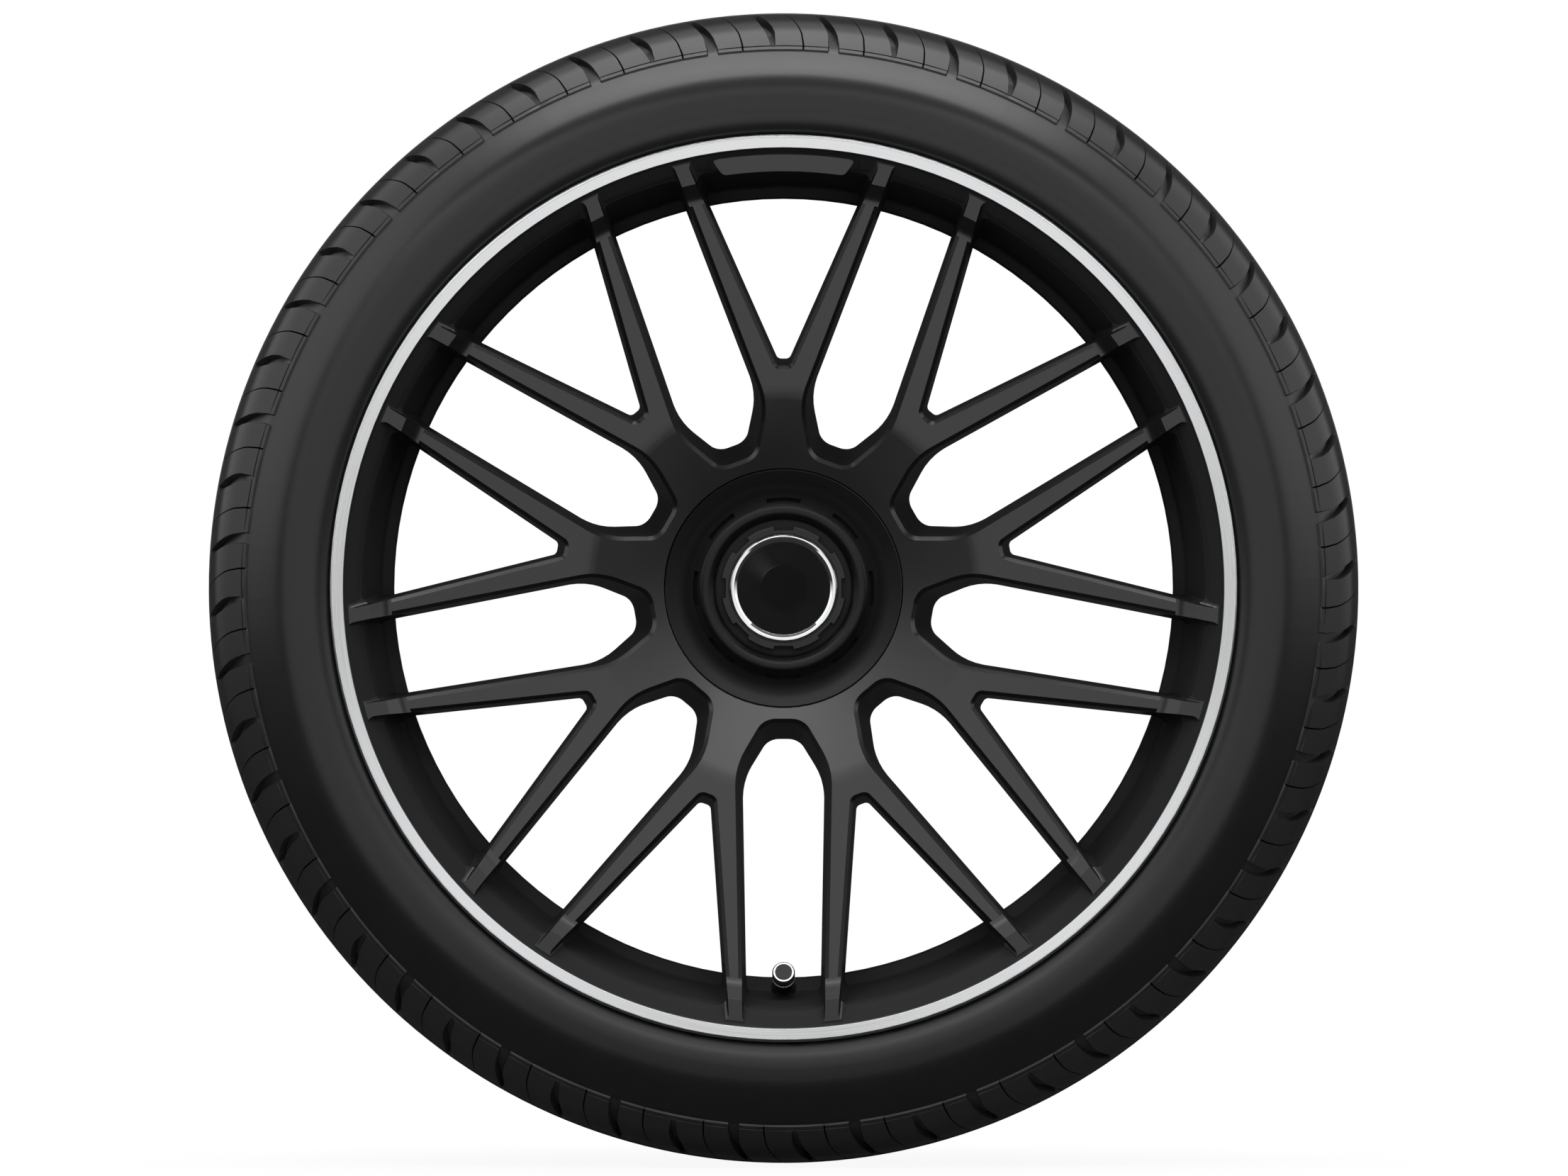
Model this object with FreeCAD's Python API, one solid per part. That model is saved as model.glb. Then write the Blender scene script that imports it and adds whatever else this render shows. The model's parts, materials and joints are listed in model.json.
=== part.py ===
import FreeCAD, Part
import math
import os

from FreeCAD import Vector

# Forged car wheel with its tyre, hub cover and valve, in millimetres.
# The wheel is worked out with its axle along z, outboard positive, from the rim's mid-plane,
# and is then stood up: the axle along Y, the outboard face towards -Y, +Z up.

# Rim, 21 x 9.5 J
bead_seat_radius = 266.7
rim_width = 241.3
flange_height = 17.3
flange_lip = 13.0
flange_curve = 9.5
flange_face_width = 8.4
flange_face_slope = 1.6
lip_edge = 2.0
bead_corner = 6.0
bead_seat_width = 22.0
bead_seat_taper = 5.0
hump_height = 1.3
hump_width = 8.0
well_depth = 17.3
well_width = 23.0
barrel_wall = 4.5
ledge_length = 28.0
edge_round = 1.5

# Small roundings on turned pieces, and how far a cutter overshoots
turned_edge = 0.8
small_edge = 0.5
fine_edge = 0.2
overshoot = 1.0

# Pockets between the spokes, up to the rim
pocket_wall = 4.0
pocket_flare = 3.4
pocket_depth = 44.0
pocket_taper = 9.7
pocket_round = 14.0
step_round = 4.0
pad_angle = 20.0
pad_inset = 3.0
pad_width = 9.2
pad_rise = 0.6
pad_round = 4.0

# Wheel face and hub
wheel_offset = 22.0
hub_face_height = 54.0
break_radius = 123.0
break_height = 71.0
break_blend = 90.0
face_drop = 3.6
kink_inset = 15.5
rise_height = 7.0
rise_run = 13.0
rise_blend = 18.0
disc_thickness = 43.0
hub_pad_radius = 78.0
pad_bevel = 8.0
centre_bore_radius = 33.3
centre_bore_length = 16.0
bolt_count = 5
bolt_circle_radius = 56.0
bolt_hole_radius = 7.5
bolt_seat_radius = 13.5
bolt_seat_height = 11.0
bolt_socket_radius = 15.5
pad_pocket_radius = 12.0
pad_pocket_depth = 13.0

# Spokes: nine forks, with a narrow window inside each pair of forks and a wide one in each fork
spoke_count = 9
gap_base_radius = 89.0
gap_base_half = 10.5
gap_base_round = 11.0
gap_shoulder_radius = 119.5
gap_shoulder_round = 48.0
gap_half = 25.3
gap_half_outer = 22.5
arm_inner_radius = 150.0
arm_outer_radius = 238.0
arm_width_inner = 19.7
arm_width_outer = 17.5
fork_apex_radius = 144.0
fork_apex_round = 3.5
rim_corner_round = 6.0
collar_lap = 3.0
wall_lap = 1.4
window_reference_height = 38.0
window_draft = 0.06
fork_draft = 0.13
flank_draft = 0.16
base_draft = 0.26
window_chamfer = 2.2
back_chamfer = 1.5

# Bayonet in the hub for the cap nut
lip_thickness = 4.0
lug_room = 6.0
lug_reach = 4.0
lug_count = 3
lug_angle = 40.0
lug_room_angle = 52.0
unlock_angle = 45.0
groove_margin = 1.2
play = 0.3

# Hub cover and cap nut
cover_radius = 74.7
cover_wall = 2.5
cover_skirt = 9.0
cover_bend_radius = 68.0
cover_bend_depth = 3.0
cover_bend_round = 25.0
cover_valley_radius = 59.5
cover_valley_depth = 7.3
cover_valley_round = 3.0
bulge_radius = 50.0
bulge_round = 5.5
bulge_height = 3.0
bulge_foot = 7.0
bulge_wall = 5.0
nut_flange_radius = 43.0
nut_flange_thickness = 4.6
nut_flange_bevel = 1.4
nut_crown_radius = 39.2
nut_crown_height = 3.6
nut_crown_wall = 4.6
nut_notch_depth = 3.0
nut_notch_half_outer = 7.6
nut_notch_half_inner = 6.0
nut_notch_count = 8
nut_stem_radius = 30.5
nut_stem_wall = 4.5
nut_sink = 4.0
slot_count = 8
slot_angle = 22.0
slot_radius = 55.6
slot_width = 2.6
slot_depth = 1.5
tube_wall = 2.5
seal_thickness = 1.8
clip_thickness = 1.5
clip_depth = 1.4
clip_reach = 2.2
clip_room = 1.0
clip_gap_angle = 16.0
trim_inner_radius = 29.2
trim_height = 3.4
disc_gap = 0.1
disc_edge_height = 1.4
disc_dome = 0.4
inlay_depth = 2.4

# Valve, in its own frame along the stem from the rim's outer spot face
valve_tilt = 24.0
valve_inset = 6.6
valve_wall = 5.0
valve_hole_radius = 5.65
valve_spot_radius = 8.15
valve_spot_depth = 0.8
valve_boss_radius = 10.0
rubber_flange_radius = 7.4
rubber_flange_thickness = 2.4
rubber_neck_radius = 5.0
rubber_shoulder = 6.0
rubber_length = 14.0
rubber_tail = 11.0
rubber_tail_band = 2.0
rubber_tail_radius = 7.4
rubber_tip_radius = 5.2
stem_shank_radius = 3.0
stem_thread_radius = 3.85
stem_length = 23.6
stem_tail = 18.0
stem_bore_radius = 2.5
stem_bore_margin = 1.0
stem_passage_radius = 1.7
core_length = 12.0
core_sink = 1.8
core_wall = 0.9
core_ledge = 1.5
core_pin_radius = 0.55
core_plunger = 1.5
core_seal_thickness = 0.7
core_collar = 0.6
pin_travel = 1.2
pin_tip_sink = 0.4
spring_wire_radius = 0.15
spring_turns = 7
cap_radius = 7.1
cap_knurl_depth = 0.45
cap_knurl_count = 40
cap_knurl_share = 0.8
cap_neck_radius = 5.7
cap_neck_length = 3.0
cap_length = 12.2
cap_roof = 2.2
cap_inlay_radius = 5.4
cap_inlay_depth = 0.8
cap_edge = 0.7
cap_seal_thickness = 1.1
cap_seal_hole = 2.4
fine_gap = 0.15

# Pressure sensor on the stem's inner end
sensor_width = 46.0
sensor_height = 14.0
sensor_length = 22.0
sensor_round = 3.0
sensor_lug = 4.0
screw_radius = 1.5
screw_head_radius = 3.2
screw_head_height = 2.2
screw_bite = 5.0
screw_bore_radius = 0.7

# Balance weights on the inner barrel
weight_count = 8
weight_angle = 4.0
weight_gap_angle = 0.5
weight_width = 16.0
weight_thickness = 3.6
tape_thickness = 0.8
tape_gap = 0.1
weight_inset = 26.0
weight_place = 128.0

# Tyre, 275/35 R21
tyre_radius = 363.0
crown_curve = 900.0
tread_half = 104.0
shoulder_round = 26.0
shoulder_drop = 26.0
shoulder_side = 14.5
shoulder_break = 4.0
sidewall_drop = 25.0
sidewall_side = 15.8
sidewall_round = 24.0
rib_radius = 292.5
rib_width = 8.0
rib_height = 3.0
rib_edge = 1.2
rib_nose = 7.0
section_half = 137.5
tread_thickness = 15.0
sidewall_thickness = 9.0
bead_width = 21.0
bead_heel = 7.0
bead_toe = 1.5
toe_rise = 1.0
toe_inside_round = 8.0
bead_inside_round = 30.0
side_inside_round = 25.0
tread_inside_round = 20.0
bead_clearance = 0.15
groove_depth = 7.5
groove_taper = 1.2
inner_groove_place = 19.0
inner_groove_width = 11.0
outer_groove_place = 57.0
outer_groove_width = 9.5
pitch_count = 28
lateral_width = 4.6
lateral_depth = 5.0
lateral_lean = 2.0
lateral_start = 67.0
lateral_foot = 8.0
blind_stop = 6.0


def rounded_wire(corners, place):
    """Closed wire through (u, v, radius) corners; place turns u, v into a point in space."""
    count = len(corners)
    spots = [Vector(u, v, 0) for u, v, radius in corners]
    halves = []
    cuts = []
    for index in range(count):
        to_last = spots[index - 1] - spots[index]
        to_next = spots[(index + 1) % count] - spots[index]
        half = to_last.getAngle(to_next) / 2
        halves.append(half)
        cuts.append(corners[index][2] / math.tan(half))
    shares = []
    for index in range(count):
        length = spots[index].distanceToPoint(spots[(index + 1) % count])
        wanted = cuts[index] + cuts[(index + 1) % count]
        shares.append(min(1.0, 0.98 * length / max(wanted, 1e-9)))
    arcs = []
    for index in range(count):
        corner = spots[index]
        cut = cuts[index] * min(shares[index - 1], shares[index])
        to_last = (spots[index - 1] - corner).normalize()
        to_next = (spots[(index + 1) % count] - corner).normalize()
        inward = to_last + to_next
        if cut < 1e-6 or inward.Length < 1e-6:
            arcs.append((corner, None, corner))
            continue
        inward.normalize()
        depth = cut / math.cos(halves[index]) - cut * math.tan(halves[index])
        arcs.append((corner + to_last * cut, corner + inward * depth, corner + to_next * cut))
    edges = []
    for index in range(count):
        start, middle, end = arcs[index]
        if middle:
            points = [place(point.x, point.y) for point in (start, middle, end)]
            edges.append(Part.Arc(*points).toShape())
        following = arcs[(index + 1) % count][0]
        if end.distanceToPoint(following) > 1e-6:
            leg = [place(point.x, point.y) for point in (end, following)]
            edges.append(Part.LineSegment(*leg).toShape())
    return Part.Wire(edges)


def turned(corners):
    """Solid of revolution about z from a closed (radius, height, rounding) profile."""
    face = Part.Face(rounded_wire(corners, lambda radius, height: Vector(0, radius, height)))
    return face.revolve(Vector(0, 0, 0), Vector(0, 0, 1), 360)


def plate(corners, low, high):
    """Prism from height low to high over a closed (x, y, rounding) outline."""
    face = Part.Face(rounded_wire(corners, lambda x, y: Vector(x, y, low)))
    return face.extrude(Vector(0, 0, high - low))


def spun(shape, angle):
    """Copy of a shape turned about the wheel's axle, clockwise as seen from outboard."""
    copy = shape.copy()
    copy.rotate(Vector(0, 0, 0), Vector(0, 0, 1), -angle)
    return copy


def pillar(radius, low, high):
    """Cylinder about z from height low to high."""
    return Part.makeCylinder(radius, high - low, Vector(0, 0, low))


def wedge(angle, low, high, radius):
    """Upright wedge about the top, from the axle to well beyond a radius."""
    reach = 2 * radius
    half = math.radians(angle / 2)
    side = reach * math.sin(half)
    height = reach * math.cos(half)
    return plate([(0, 0, 0), (side, height, 0), (-side, height, 0)], low, high)


def sector(inner, outer, low, high, angle, place):
    """Part of a ring: angle wide, centred at place degrees clockwise from the top."""
    ring = turned([(inner, low, 0), (outer, low, 0), (outer, high, 0), (inner, high, 0)])
    return spun(ring.common(wedge(angle, low, high, outer)), place)


def around(shape, count, first=0.0):
    """Equally spaced copies of a shape about the axle."""
    return [spun(shape, first + index * 360.0 / count) for index in range(count)]


def crown_at(side):
    """Tread radius at a distance from the mid-plane."""
    return tyre_radius - side * side / (2 * crown_curve)


def valve_set(shape):
    """Place a shape made along z from the spot face at the valve's seat in the rim."""
    copy = shape.copy()
    copy.rotate(Vector(0, 0, 0), Vector(1, 0, 0), -valve_tilt)
    copy.translate(Vector(0, -valve_radius, valve_height))
    return copy


def save(name, shape):
    """Stand the finished piece up and write it."""
    piece = shape.copy()
    piece.rotate(Vector(0, 0, 0), Vector(1, 0, 0), 90)
    print(name, len(piece.Solids), "solids", round(piece.Volume / 1000, 2), "cm3", piece.isValid())
    piece.exportStep("parts/%s.step" % name)


# Places that several pieces share
half_width = rim_width / 2
lip_height = half_width + flange_lip
flange_radius = bead_seat_radius + flange_height
bead_inner_radius = bead_seat_radius - bead_seat_width * math.tan(math.radians(bead_seat_taper))
hump_start = half_width - bead_seat_width
hump_end = hump_start - hump_width
ledge_radius = bead_inner_radius - hump_height
well_radius = bead_seat_radius - well_depth
well_inner_radius = well_radius - barrel_wall
barrel_inner_radius = ledge_radius - barrel_wall
flare_radius = bead_seat_radius - pocket_wall
flare_height = half_width + pocket_flare
flare_top = lip_height - flange_face_slope - edge_round
step_radius = flare_radius - pocket_taper
step_height = flare_height - pocket_depth
tilt_slope = math.tan(math.radians(valve_tilt))
band_edge_height = step_height - (step_radius - well_inner_radius) * tilt_slope
valve_radius = well_inner_radius + valve_inset
valve_height = band_edge_height + valve_inset * tilt_slope
well_wall_shift = valve_wall / math.cos(math.radians(valve_tilt))
well_start = band_edge_height + barrel_wall * tilt_slope - well_wall_shift
well_end = well_start - well_width
ledge_start = well_end - ledge_length

mount_height = wheel_offset
hub_face = mount_height + hub_face_height
lug_bottom = mount_height + centre_bore_length
lip_bottom = lug_bottom + lug_room
hub_floor = lip_bottom + lip_thickness
lug_radius = centre_bore_radius + lug_reach
cover_recess_radius = cover_radius + play
break_face = mount_height + break_height
top_height = lip_height - face_drop
top_radius = flange_radius - flange_face_width - edge_round
kink_radius = top_radius - kink_inset
arm_end_radius = kink_radius - rise_run
arm_end_height = top_height - rise_height
window_reference = mount_height + window_reference_height

# Places in the hub cover and the nut
nut_seat = hub_face - nut_sink
cover_floor = nut_seat - play
nut_top = nut_seat + nut_flange_thickness + nut_crown_height
trim_radius = nut_crown_radius - nut_crown_wall - disc_gap
inlay_floor = nut_top - inlay_depth
clip_bottom = cover_floor - cover_wall - play - clip_thickness
tube_inner_radius = nut_stem_radius + clip_reach + clip_room
tube_end = hub_floor + seal_thickness
cap_start = stem_length + fine_gap + cap_seal_thickness + cap_roof - cap_length

# Places of the balance weights on the slightly tapered inner barrel
weight_height = -hump_start + weight_inset
barrel_narrowing = edge_round * (weight_inset + weight_width / 2) / (ledge_start + hump_start)
tape_radius = barrel_inner_radius - barrel_narrowing - tape_gap

# Places on the tyre
shoulder_radius = tyre_radius - shoulder_drop
shoulder_height = tread_half + shoulder_side
side_radius = shoulder_radius - sidewall_drop
side_height = shoulder_height + sidewall_side


def rim_barrel():
    """Barrel, bead seats, flanges and the flared pocket wall, as one turned ring."""
    inboard_ledge = ledge_radius - edge_round
    profile = [
        (flange_radius, lip_height, lip_edge),
        (flange_radius, half_width, flange_curve),
        (bead_seat_radius, half_width, bead_corner),
        (bead_inner_radius, hump_start, 0),
        (bead_inner_radius + hump_height, hump_start - hump_width / 2, 2 * edge_round),
        (ledge_radius, hump_end, edge_round),
        (ledge_radius - edge_round, well_start + (ledge_radius - well_radius) * tilt_slope, bead_corner),
        (well_radius, well_start, bead_corner),
        (well_radius, well_end, bead_corner),
        (inboard_ledge, ledge_start, bead_corner),
        (ledge_radius, -hump_end, edge_round),
        (bead_inner_radius + hump_height, -hump_start + hump_width / 2, 2 * edge_round),
        (bead_inner_radius, -hump_start, 0),
        (bead_seat_radius, -half_width, bead_corner),
        (flange_radius, -half_width, flange_curve),
        (flange_radius, -lip_height, lip_edge),
        (flange_radius - 2 * lip_edge, -lip_height, lip_edge),
        (barrel_inner_radius + pocket_wall, -half_width - barrel_wall / 2, bead_corner),
        (barrel_inner_radius, -hump_start, bead_corner),
        (barrel_inner_radius - edge_round, ledge_start, bead_corner),
        (well_inner_radius, well_end, bead_corner),
        (well_inner_radius, band_edge_height, edge_round),
        (step_radius, step_height, step_round),
        (flare_radius, flare_height, pocket_round),
        (top_radius, flare_top, edge_round),
        (flange_radius - flange_face_width, lip_height - flange_face_slope, edge_round / 2),
    ]
    return turned(profile)


def pocket_pad():
    """Blank raised pad with rounded corners on the flared wall of the pocket at the top."""
    along = Vector(top_radius - flare_radius, flare_top - flare_height, 0).normalize()
    outward = Vector(-along.y, along.x, 0)
    low = Vector(flare_radius, flare_height, 0) + along * pad_inset
    high = low + along * pad_width
    sunk = outward * pad_rise
    corners = (low - sunk, high - sunk, high + sunk, low + sunk)
    ring = turned([(corner.x, corner.y, 0) for corner in corners])
    pad = ring.common(wedge(pad_angle, flare_height - pad_width, lip_height, flange_radius))
    corner_edges = [edge for edge in pad.Edges if edge.Length < 3 * pad_rise]
    return pad.makeFillet(pad_round, corner_edges)


def back_height(radius):
    """Height of the spokes' back between the slope break and the rim's pocket step."""
    slope = (step_height - break_face + disc_thickness) / (step_radius - break_radius)
    return step_height + (radius - step_radius) * slope


def front_height(radius):
    """Height of the spokes' face between the slope break and the rise at the rim."""
    slope = (arm_end_height - break_face) / (arm_end_radius - break_radius)
    return break_face + (radius - break_radius) * slope


def spoke_disc():
    """Turned disc from the hub nearly to the rim, before the windows are cut."""
    end_radius = arm_end_radius + collar_lap
    profile = [
        (centre_bore_radius, mount_height, 0),
        (hub_pad_radius, mount_height, edge_round),
        (hub_pad_radius + pad_bevel, mount_height + pad_bevel, bead_corner),
        (break_radius, break_face - disc_thickness, break_blend),
        (end_radius, back_height(end_radius), 0),
        (end_radius, front_height(end_radius), 0),
        (break_radius, break_face, break_blend),
        (cover_recess_radius, hub_face, edge_round / 2),
        (cover_recess_radius, hub_floor, edge_round),
        (centre_bore_radius, hub_floor, 0),
    ]
    return turned(profile)


def spoke_collar():
    """Turned ring where the spokes step up into the rim; its outer side lies in the barrel."""
    profile = [
        (arm_end_radius, back_height(arm_end_radius), 0),
        (step_radius + collar_lap, back_height(step_radius + collar_lap), 0),
        (flare_radius + collar_lap / 2, flare_height - collar_lap, 0),
        (top_radius, top_height, 0),
        (kink_radius, top_height, edge_round / 3),
        (arm_end_radius + collar_lap, front_height(arm_end_radius + collar_lap), rise_blend),
        (arm_end_radius, front_height(arm_end_radius), 0),
    ]
    return turned(profile)


def gap_side(radius):
    """Half width of the gap between two spokes, at the reference height."""
    share = (radius - arm_inner_radius) / (arm_outer_radius - arm_inner_radius)
    return gap_half + (gap_half_outer - gap_half) * share


def fork_side_line():
    """Two points of the fork window's side: the gap's side, one arm width further on."""
    half_pitch = math.radians(180.0 / spoke_count)
    outward = Vector(math.sin(half_pitch), math.cos(half_pitch), 0)
    across = Vector(math.cos(half_pitch), -math.sin(half_pitch), 0)
    near = outward * arm_inner_radius - across * gap_side(arm_inner_radius)
    far = outward * arm_outer_radius - across * gap_side(arm_outer_radius)
    along = (far - near).normalize()
    aside = Vector(-along.y, along.x, 0)
    return near + aside * arm_width_inner, far + aside * arm_width_outer


def meet(first, second):
    """Point where two lines meet, each given as a point and a direction."""
    point, along = first
    other, direction = second
    cross = along.x * direction.y - along.y * direction.x
    apart = other - point
    return point + along * ((apart.x * direction.y - apart.y * direction.x) / cross)


def shifted(start, end, distance):
    """Line through two points, moved to the right of its direction, away from the window."""
    along = (end - start).normalize()
    return start + Vector(along.y, -along.x, 0) * distance, along


def outer_corner(line, outer_radius, rounding):
    """Tangent points and middle of the arc between a side line and the outer circle."""
    point, along = line
    inward = Vector(-along.y, along.x, 0)
    start = point + inward * rounding
    reach = outer_radius - rounding
    dot = start.dot(along)
    run = -dot + math.sqrt(dot * dot - start.dot(start) + reach * reach)
    centre = start + along * run
    on_line = centre - inward * rounding
    on_circle = centre * (outer_radius / reach)
    middle = centre + ((on_line + on_circle) / 2 - centre).normalize() * rounding
    return on_line, middle, on_circle


def bend(before, corner, after, rounding):
    """Tangent points and middle of the arc that rounds one corner."""
    to_last = before - corner
    to_next = after - corner
    half = to_last.getAngle(to_next) / 2
    cut = min(rounding / math.tan(half), 0.45 * to_last.Length, 0.45 * to_next.Length)
    to_last.normalize()
    to_next.normalize()
    inward = (to_last + to_next).normalize()
    middle = corner + inward * (cut / math.cos(half) - cut * math.tan(half))
    return corner + to_last * cut, middle, corner + to_next * cut


def window_wire(corners, roundings, side, outer_radius, height):
    """Closed outline of a window from its right half: base corners, side line, outer arc."""
    chain = [Vector(-corners[0].x, corners[0].y, 0)] + corners
    on_line, middle, on_circle = outer_corner(side, outer_radius, rim_corner_round)
    chain.append(on_line)
    arcs = []
    for index in range(1, len(chain) - 1):
        arcs.append(bend(chain[index - 1], chain[index], chain[index + 1], roundings[index - 1]))
    arcs.append((on_line, middle, on_circle))

    def lift(point):
        return Vector(point.x, point.y, height)

    def mirrored(point):
        return Vector(-point.x, point.y, height)

    edges = [Part.LineSegment(mirrored(arcs[0][0]), lift(arcs[0][0])).toShape()]
    for index, arc in enumerate(arcs):
        edges.append(Part.Arc(*[lift(point) for point in arc]).toShape())
        if index + 1 < len(arcs):
            edges.append(Part.LineSegment(lift(arc[2]), lift(arcs[index + 1][0])).toShape())
    top = Vector(0, outer_radius, height)
    edges.append(Part.Arc(lift(on_circle), top, mirrored(on_circle)).toShape())
    for index in range(len(arcs) - 1, -1, -1):
        edges.append(Part.Arc(*[mirrored(point) for point in reversed(arcs[index])]).toShape())
        if index > 0:
            start = mirrored(arcs[index][0])
            edges.append(Part.LineSegment(start, mirrored(arcs[index - 1][2])).toShape())
    return Part.Wire(edges)


def window_tool(is_fork):
    """Tapered cutter for one window, wider towards the face, flared at the rim."""
    slope = pocket_taper / pocket_depth
    flare_slope = (top_radius - flare_radius) / (flare_top - flare_height)
    beyond = lip_height + edge_round
    wires = []
    for height in (mount_height, flare_height, beyond):
        rise = height - window_reference
        outer = flare_radius + wall_lap + (height - flare_height) * slope
        if height > flare_height:
            outer = flare_radius + wall_lap + (height - flare_height) * flare_slope
        side_shift = window_draft * rise
        if is_fork:
            near, far = fork_side_line()
            side = shifted(near, far, side_shift)
            base = (Vector(0, fork_apex_radius - fork_draft * rise, 0), Vector(1, 0, 0))
            corners = [meet(base, side)]
            roundings = [fork_apex_round]
        else:
            near = Vector(gap_side(arm_inner_radius), arm_inner_radius, 0)
            far = Vector(gap_side(arm_outer_radius), arm_outer_radius, 0)
            side = shifted(near, far, side_shift)
            shoulder = Vector(gap_side(gap_shoulder_radius), gap_shoulder_radius, 0)
            foot = Vector(gap_base_half, gap_base_radius, 0)
            flank = shifted(foot, shoulder, flank_draft * rise)
            base = (Vector(0, gap_base_radius - base_draft * rise, 0), Vector(1, 0, 0))
            corners = [meet(base, flank), meet(flank, side)]
            roundings = [gap_base_round, gap_shoulder_round]
        wires.append(window_wire(corners, roundings, side, outer, height))
    return Part.makeLoft(wires, True, True)


def window_edges(disc, front):
    """Edges where the window walls meet the disc's turned front, or its back."""
    owners = {}
    for face in disc.Faces:
        kind = type(face.Surface).__name__
        for edge in face.Edges:
            owners.setdefault(edge.hashCode(), []).append((kind, edge))
    chosen = []
    for rows in owners.values():
        kinds = sorted(kind for kind, edge in rows)
        if kinds not in (["BSplineSurface", "Cone"], ["BSplineSurface", "Toroid"]):
            continue
        edge = rows[0][1]
        middle = edge.valueAt((edge.FirstParameter + edge.LastParameter) / 2)
        halfway = front_height(math.hypot(middle.x, middle.y)) - disc_thickness / 2
        if (middle.z > halfway) == front:
            chosen.append(edge)
    return chosen


def hub_cuts():
    """Bolt holes with their seats, back pockets, and the bayonet for the cap nut."""
    cuts = []
    seat = mount_height + bolt_seat_height
    seat_rise = bolt_seat_radius - bolt_hole_radius
    hole = pillar(bolt_hole_radius, mount_height - overshoot, hub_floor)
    cone = Part.makeCone(bolt_hole_radius, bolt_seat_radius, seat_rise, Vector(0, 0, seat))
    socket = pillar(bolt_socket_radius, seat + seat_rise, hub_floor + overshoot)
    bolt = hole.fuse([cone, socket])
    bolt.translate(Vector(0, bolt_circle_radius, 0))
    cuts += around(bolt, bolt_count)
    pocket = pillar(pad_pocket_radius, mount_height - overshoot, mount_height + pad_pocket_depth)
    pocket = pocket.makeFillet(edge_round, [pocket.Edges[0]])
    pocket.translate(Vector(0, bolt_circle_radius, 0))
    cuts += around(pocket, bolt_count, 180.0 / bolt_count)
    cuts.append(pillar(lug_radius + groove_margin, lug_bottom, lip_bottom))
    for index in range(lug_count):
        place = index * 360.0 / lug_count - unlock_angle
        keyway = sector(nut_stem_radius, lug_radius + 2 * play, lip_bottom - overshoot,
                        hub_floor + overshoot, lug_room_angle, place)
        cuts.append(keyway)
    return cuts


def wheel():
    """The forged wheel, one piece: hub, forked spokes and rim."""
    tools = around(window_tool(True), spoke_count)
    tools += around(window_tool(False), spoke_count, 180.0 / spoke_count)
    star = spoke_disc().cut(tools)
    star = star.makeChamfer(window_chamfer, window_edges(star, True))
    star = star.makeChamfer(back_chamfer, window_edges(star, False))
    star = star.cut(hub_cuts())
    collar = spoke_collar().cut(tools)
    boss = valve_set(pillar(valve_boss_radius, -valve_wall - barrel_wall, 0))
    body = rim_barrel().fuse([collar, boss, pocket_pad()])
    body = body.fuse(star)
    spot = pillar(valve_spot_radius, -valve_spot_depth, valve_wall)
    hole = pillar(valve_hole_radius, -3 * valve_wall, valve_wall)
    inner_spot = pillar(rubber_tail_radius + play, -4 * valve_wall, -valve_wall)
    return body.cut([valve_set(spot), valve_set(hole), valve_set(inner_spot)])


def groove_corners(place, width):
    """Corners of one circumferential tread groove, from the mid-plane outwards."""
    near = place - width / 2
    far = place + width / 2
    return [
        (crown_at(near), near, turned_edge),
        (crown_at(near) - groove_depth, near + groove_taper, turned_edge),
        (crown_at(far) - groove_depth, far - groove_taper, turned_edge),
        (crown_at(far), far, turned_edge),
    ]


def tyre_body():
    """Turned tyre: ribs and grooves, shoulders, sidewalls, beads and the hollow inside."""
    toe_height = half_width - bead_width
    toe_drop = bead_width * math.tan(math.radians(bead_seat_taper))
    toe_radius = bead_seat_radius - toe_drop + bead_clearance
    rest_radius = flange_radius + bead_clearance
    rest_height = half_width - bead_clearance
    inner_side = section_half - rib_height - sidewall_thickness
    half = groove_corners(inner_groove_place, inner_groove_width)
    half += groove_corners(outer_groove_place, outer_groove_width)
    half += [
        (crown_at(tread_half), tread_half, shoulder_round),
        (shoulder_radius, shoulder_height, shoulder_break),
        (side_radius, side_height, sidewall_round),
        (rib_radius + rib_width / 2 + rib_height / 2, section_half - rib_height, rib_edge),
        (rib_radius + rib_width / 2, section_half, rib_edge),
        (rib_radius - rib_width / 2, section_half, rib_nose),
        (rest_radius, half_width + flange_curve, rib_edge),
        (rest_radius, rest_height, flange_curve + bead_clearance),
        (bead_seat_radius + bead_clearance, rest_height, bead_heel),
        (toe_radius, toe_height, bead_toe),
        (toe_radius + 2 * bead_corner, toe_height + toe_rise, toe_inside_round),
        (flange_radius + 2 * bead_corner, inner_side, bead_inside_round),
        (shoulder_radius - bead_corner, shoulder_height - sidewall_thickness, side_inside_round),
        (tyre_radius - tread_thickness, tread_half - tread_thickness, tread_inside_round),
    ]
    other = [(radius, -height, rounding) for radius, height, rounding in reversed(half)]
    return turned(half + other)


def polar_point(radius, angle):
    """Point at a radius and an angle in degrees clockwise from the top, as a corner."""
    return (radius * math.sin(math.radians(angle)), radius * math.cos(math.radians(angle)), 0)


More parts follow.
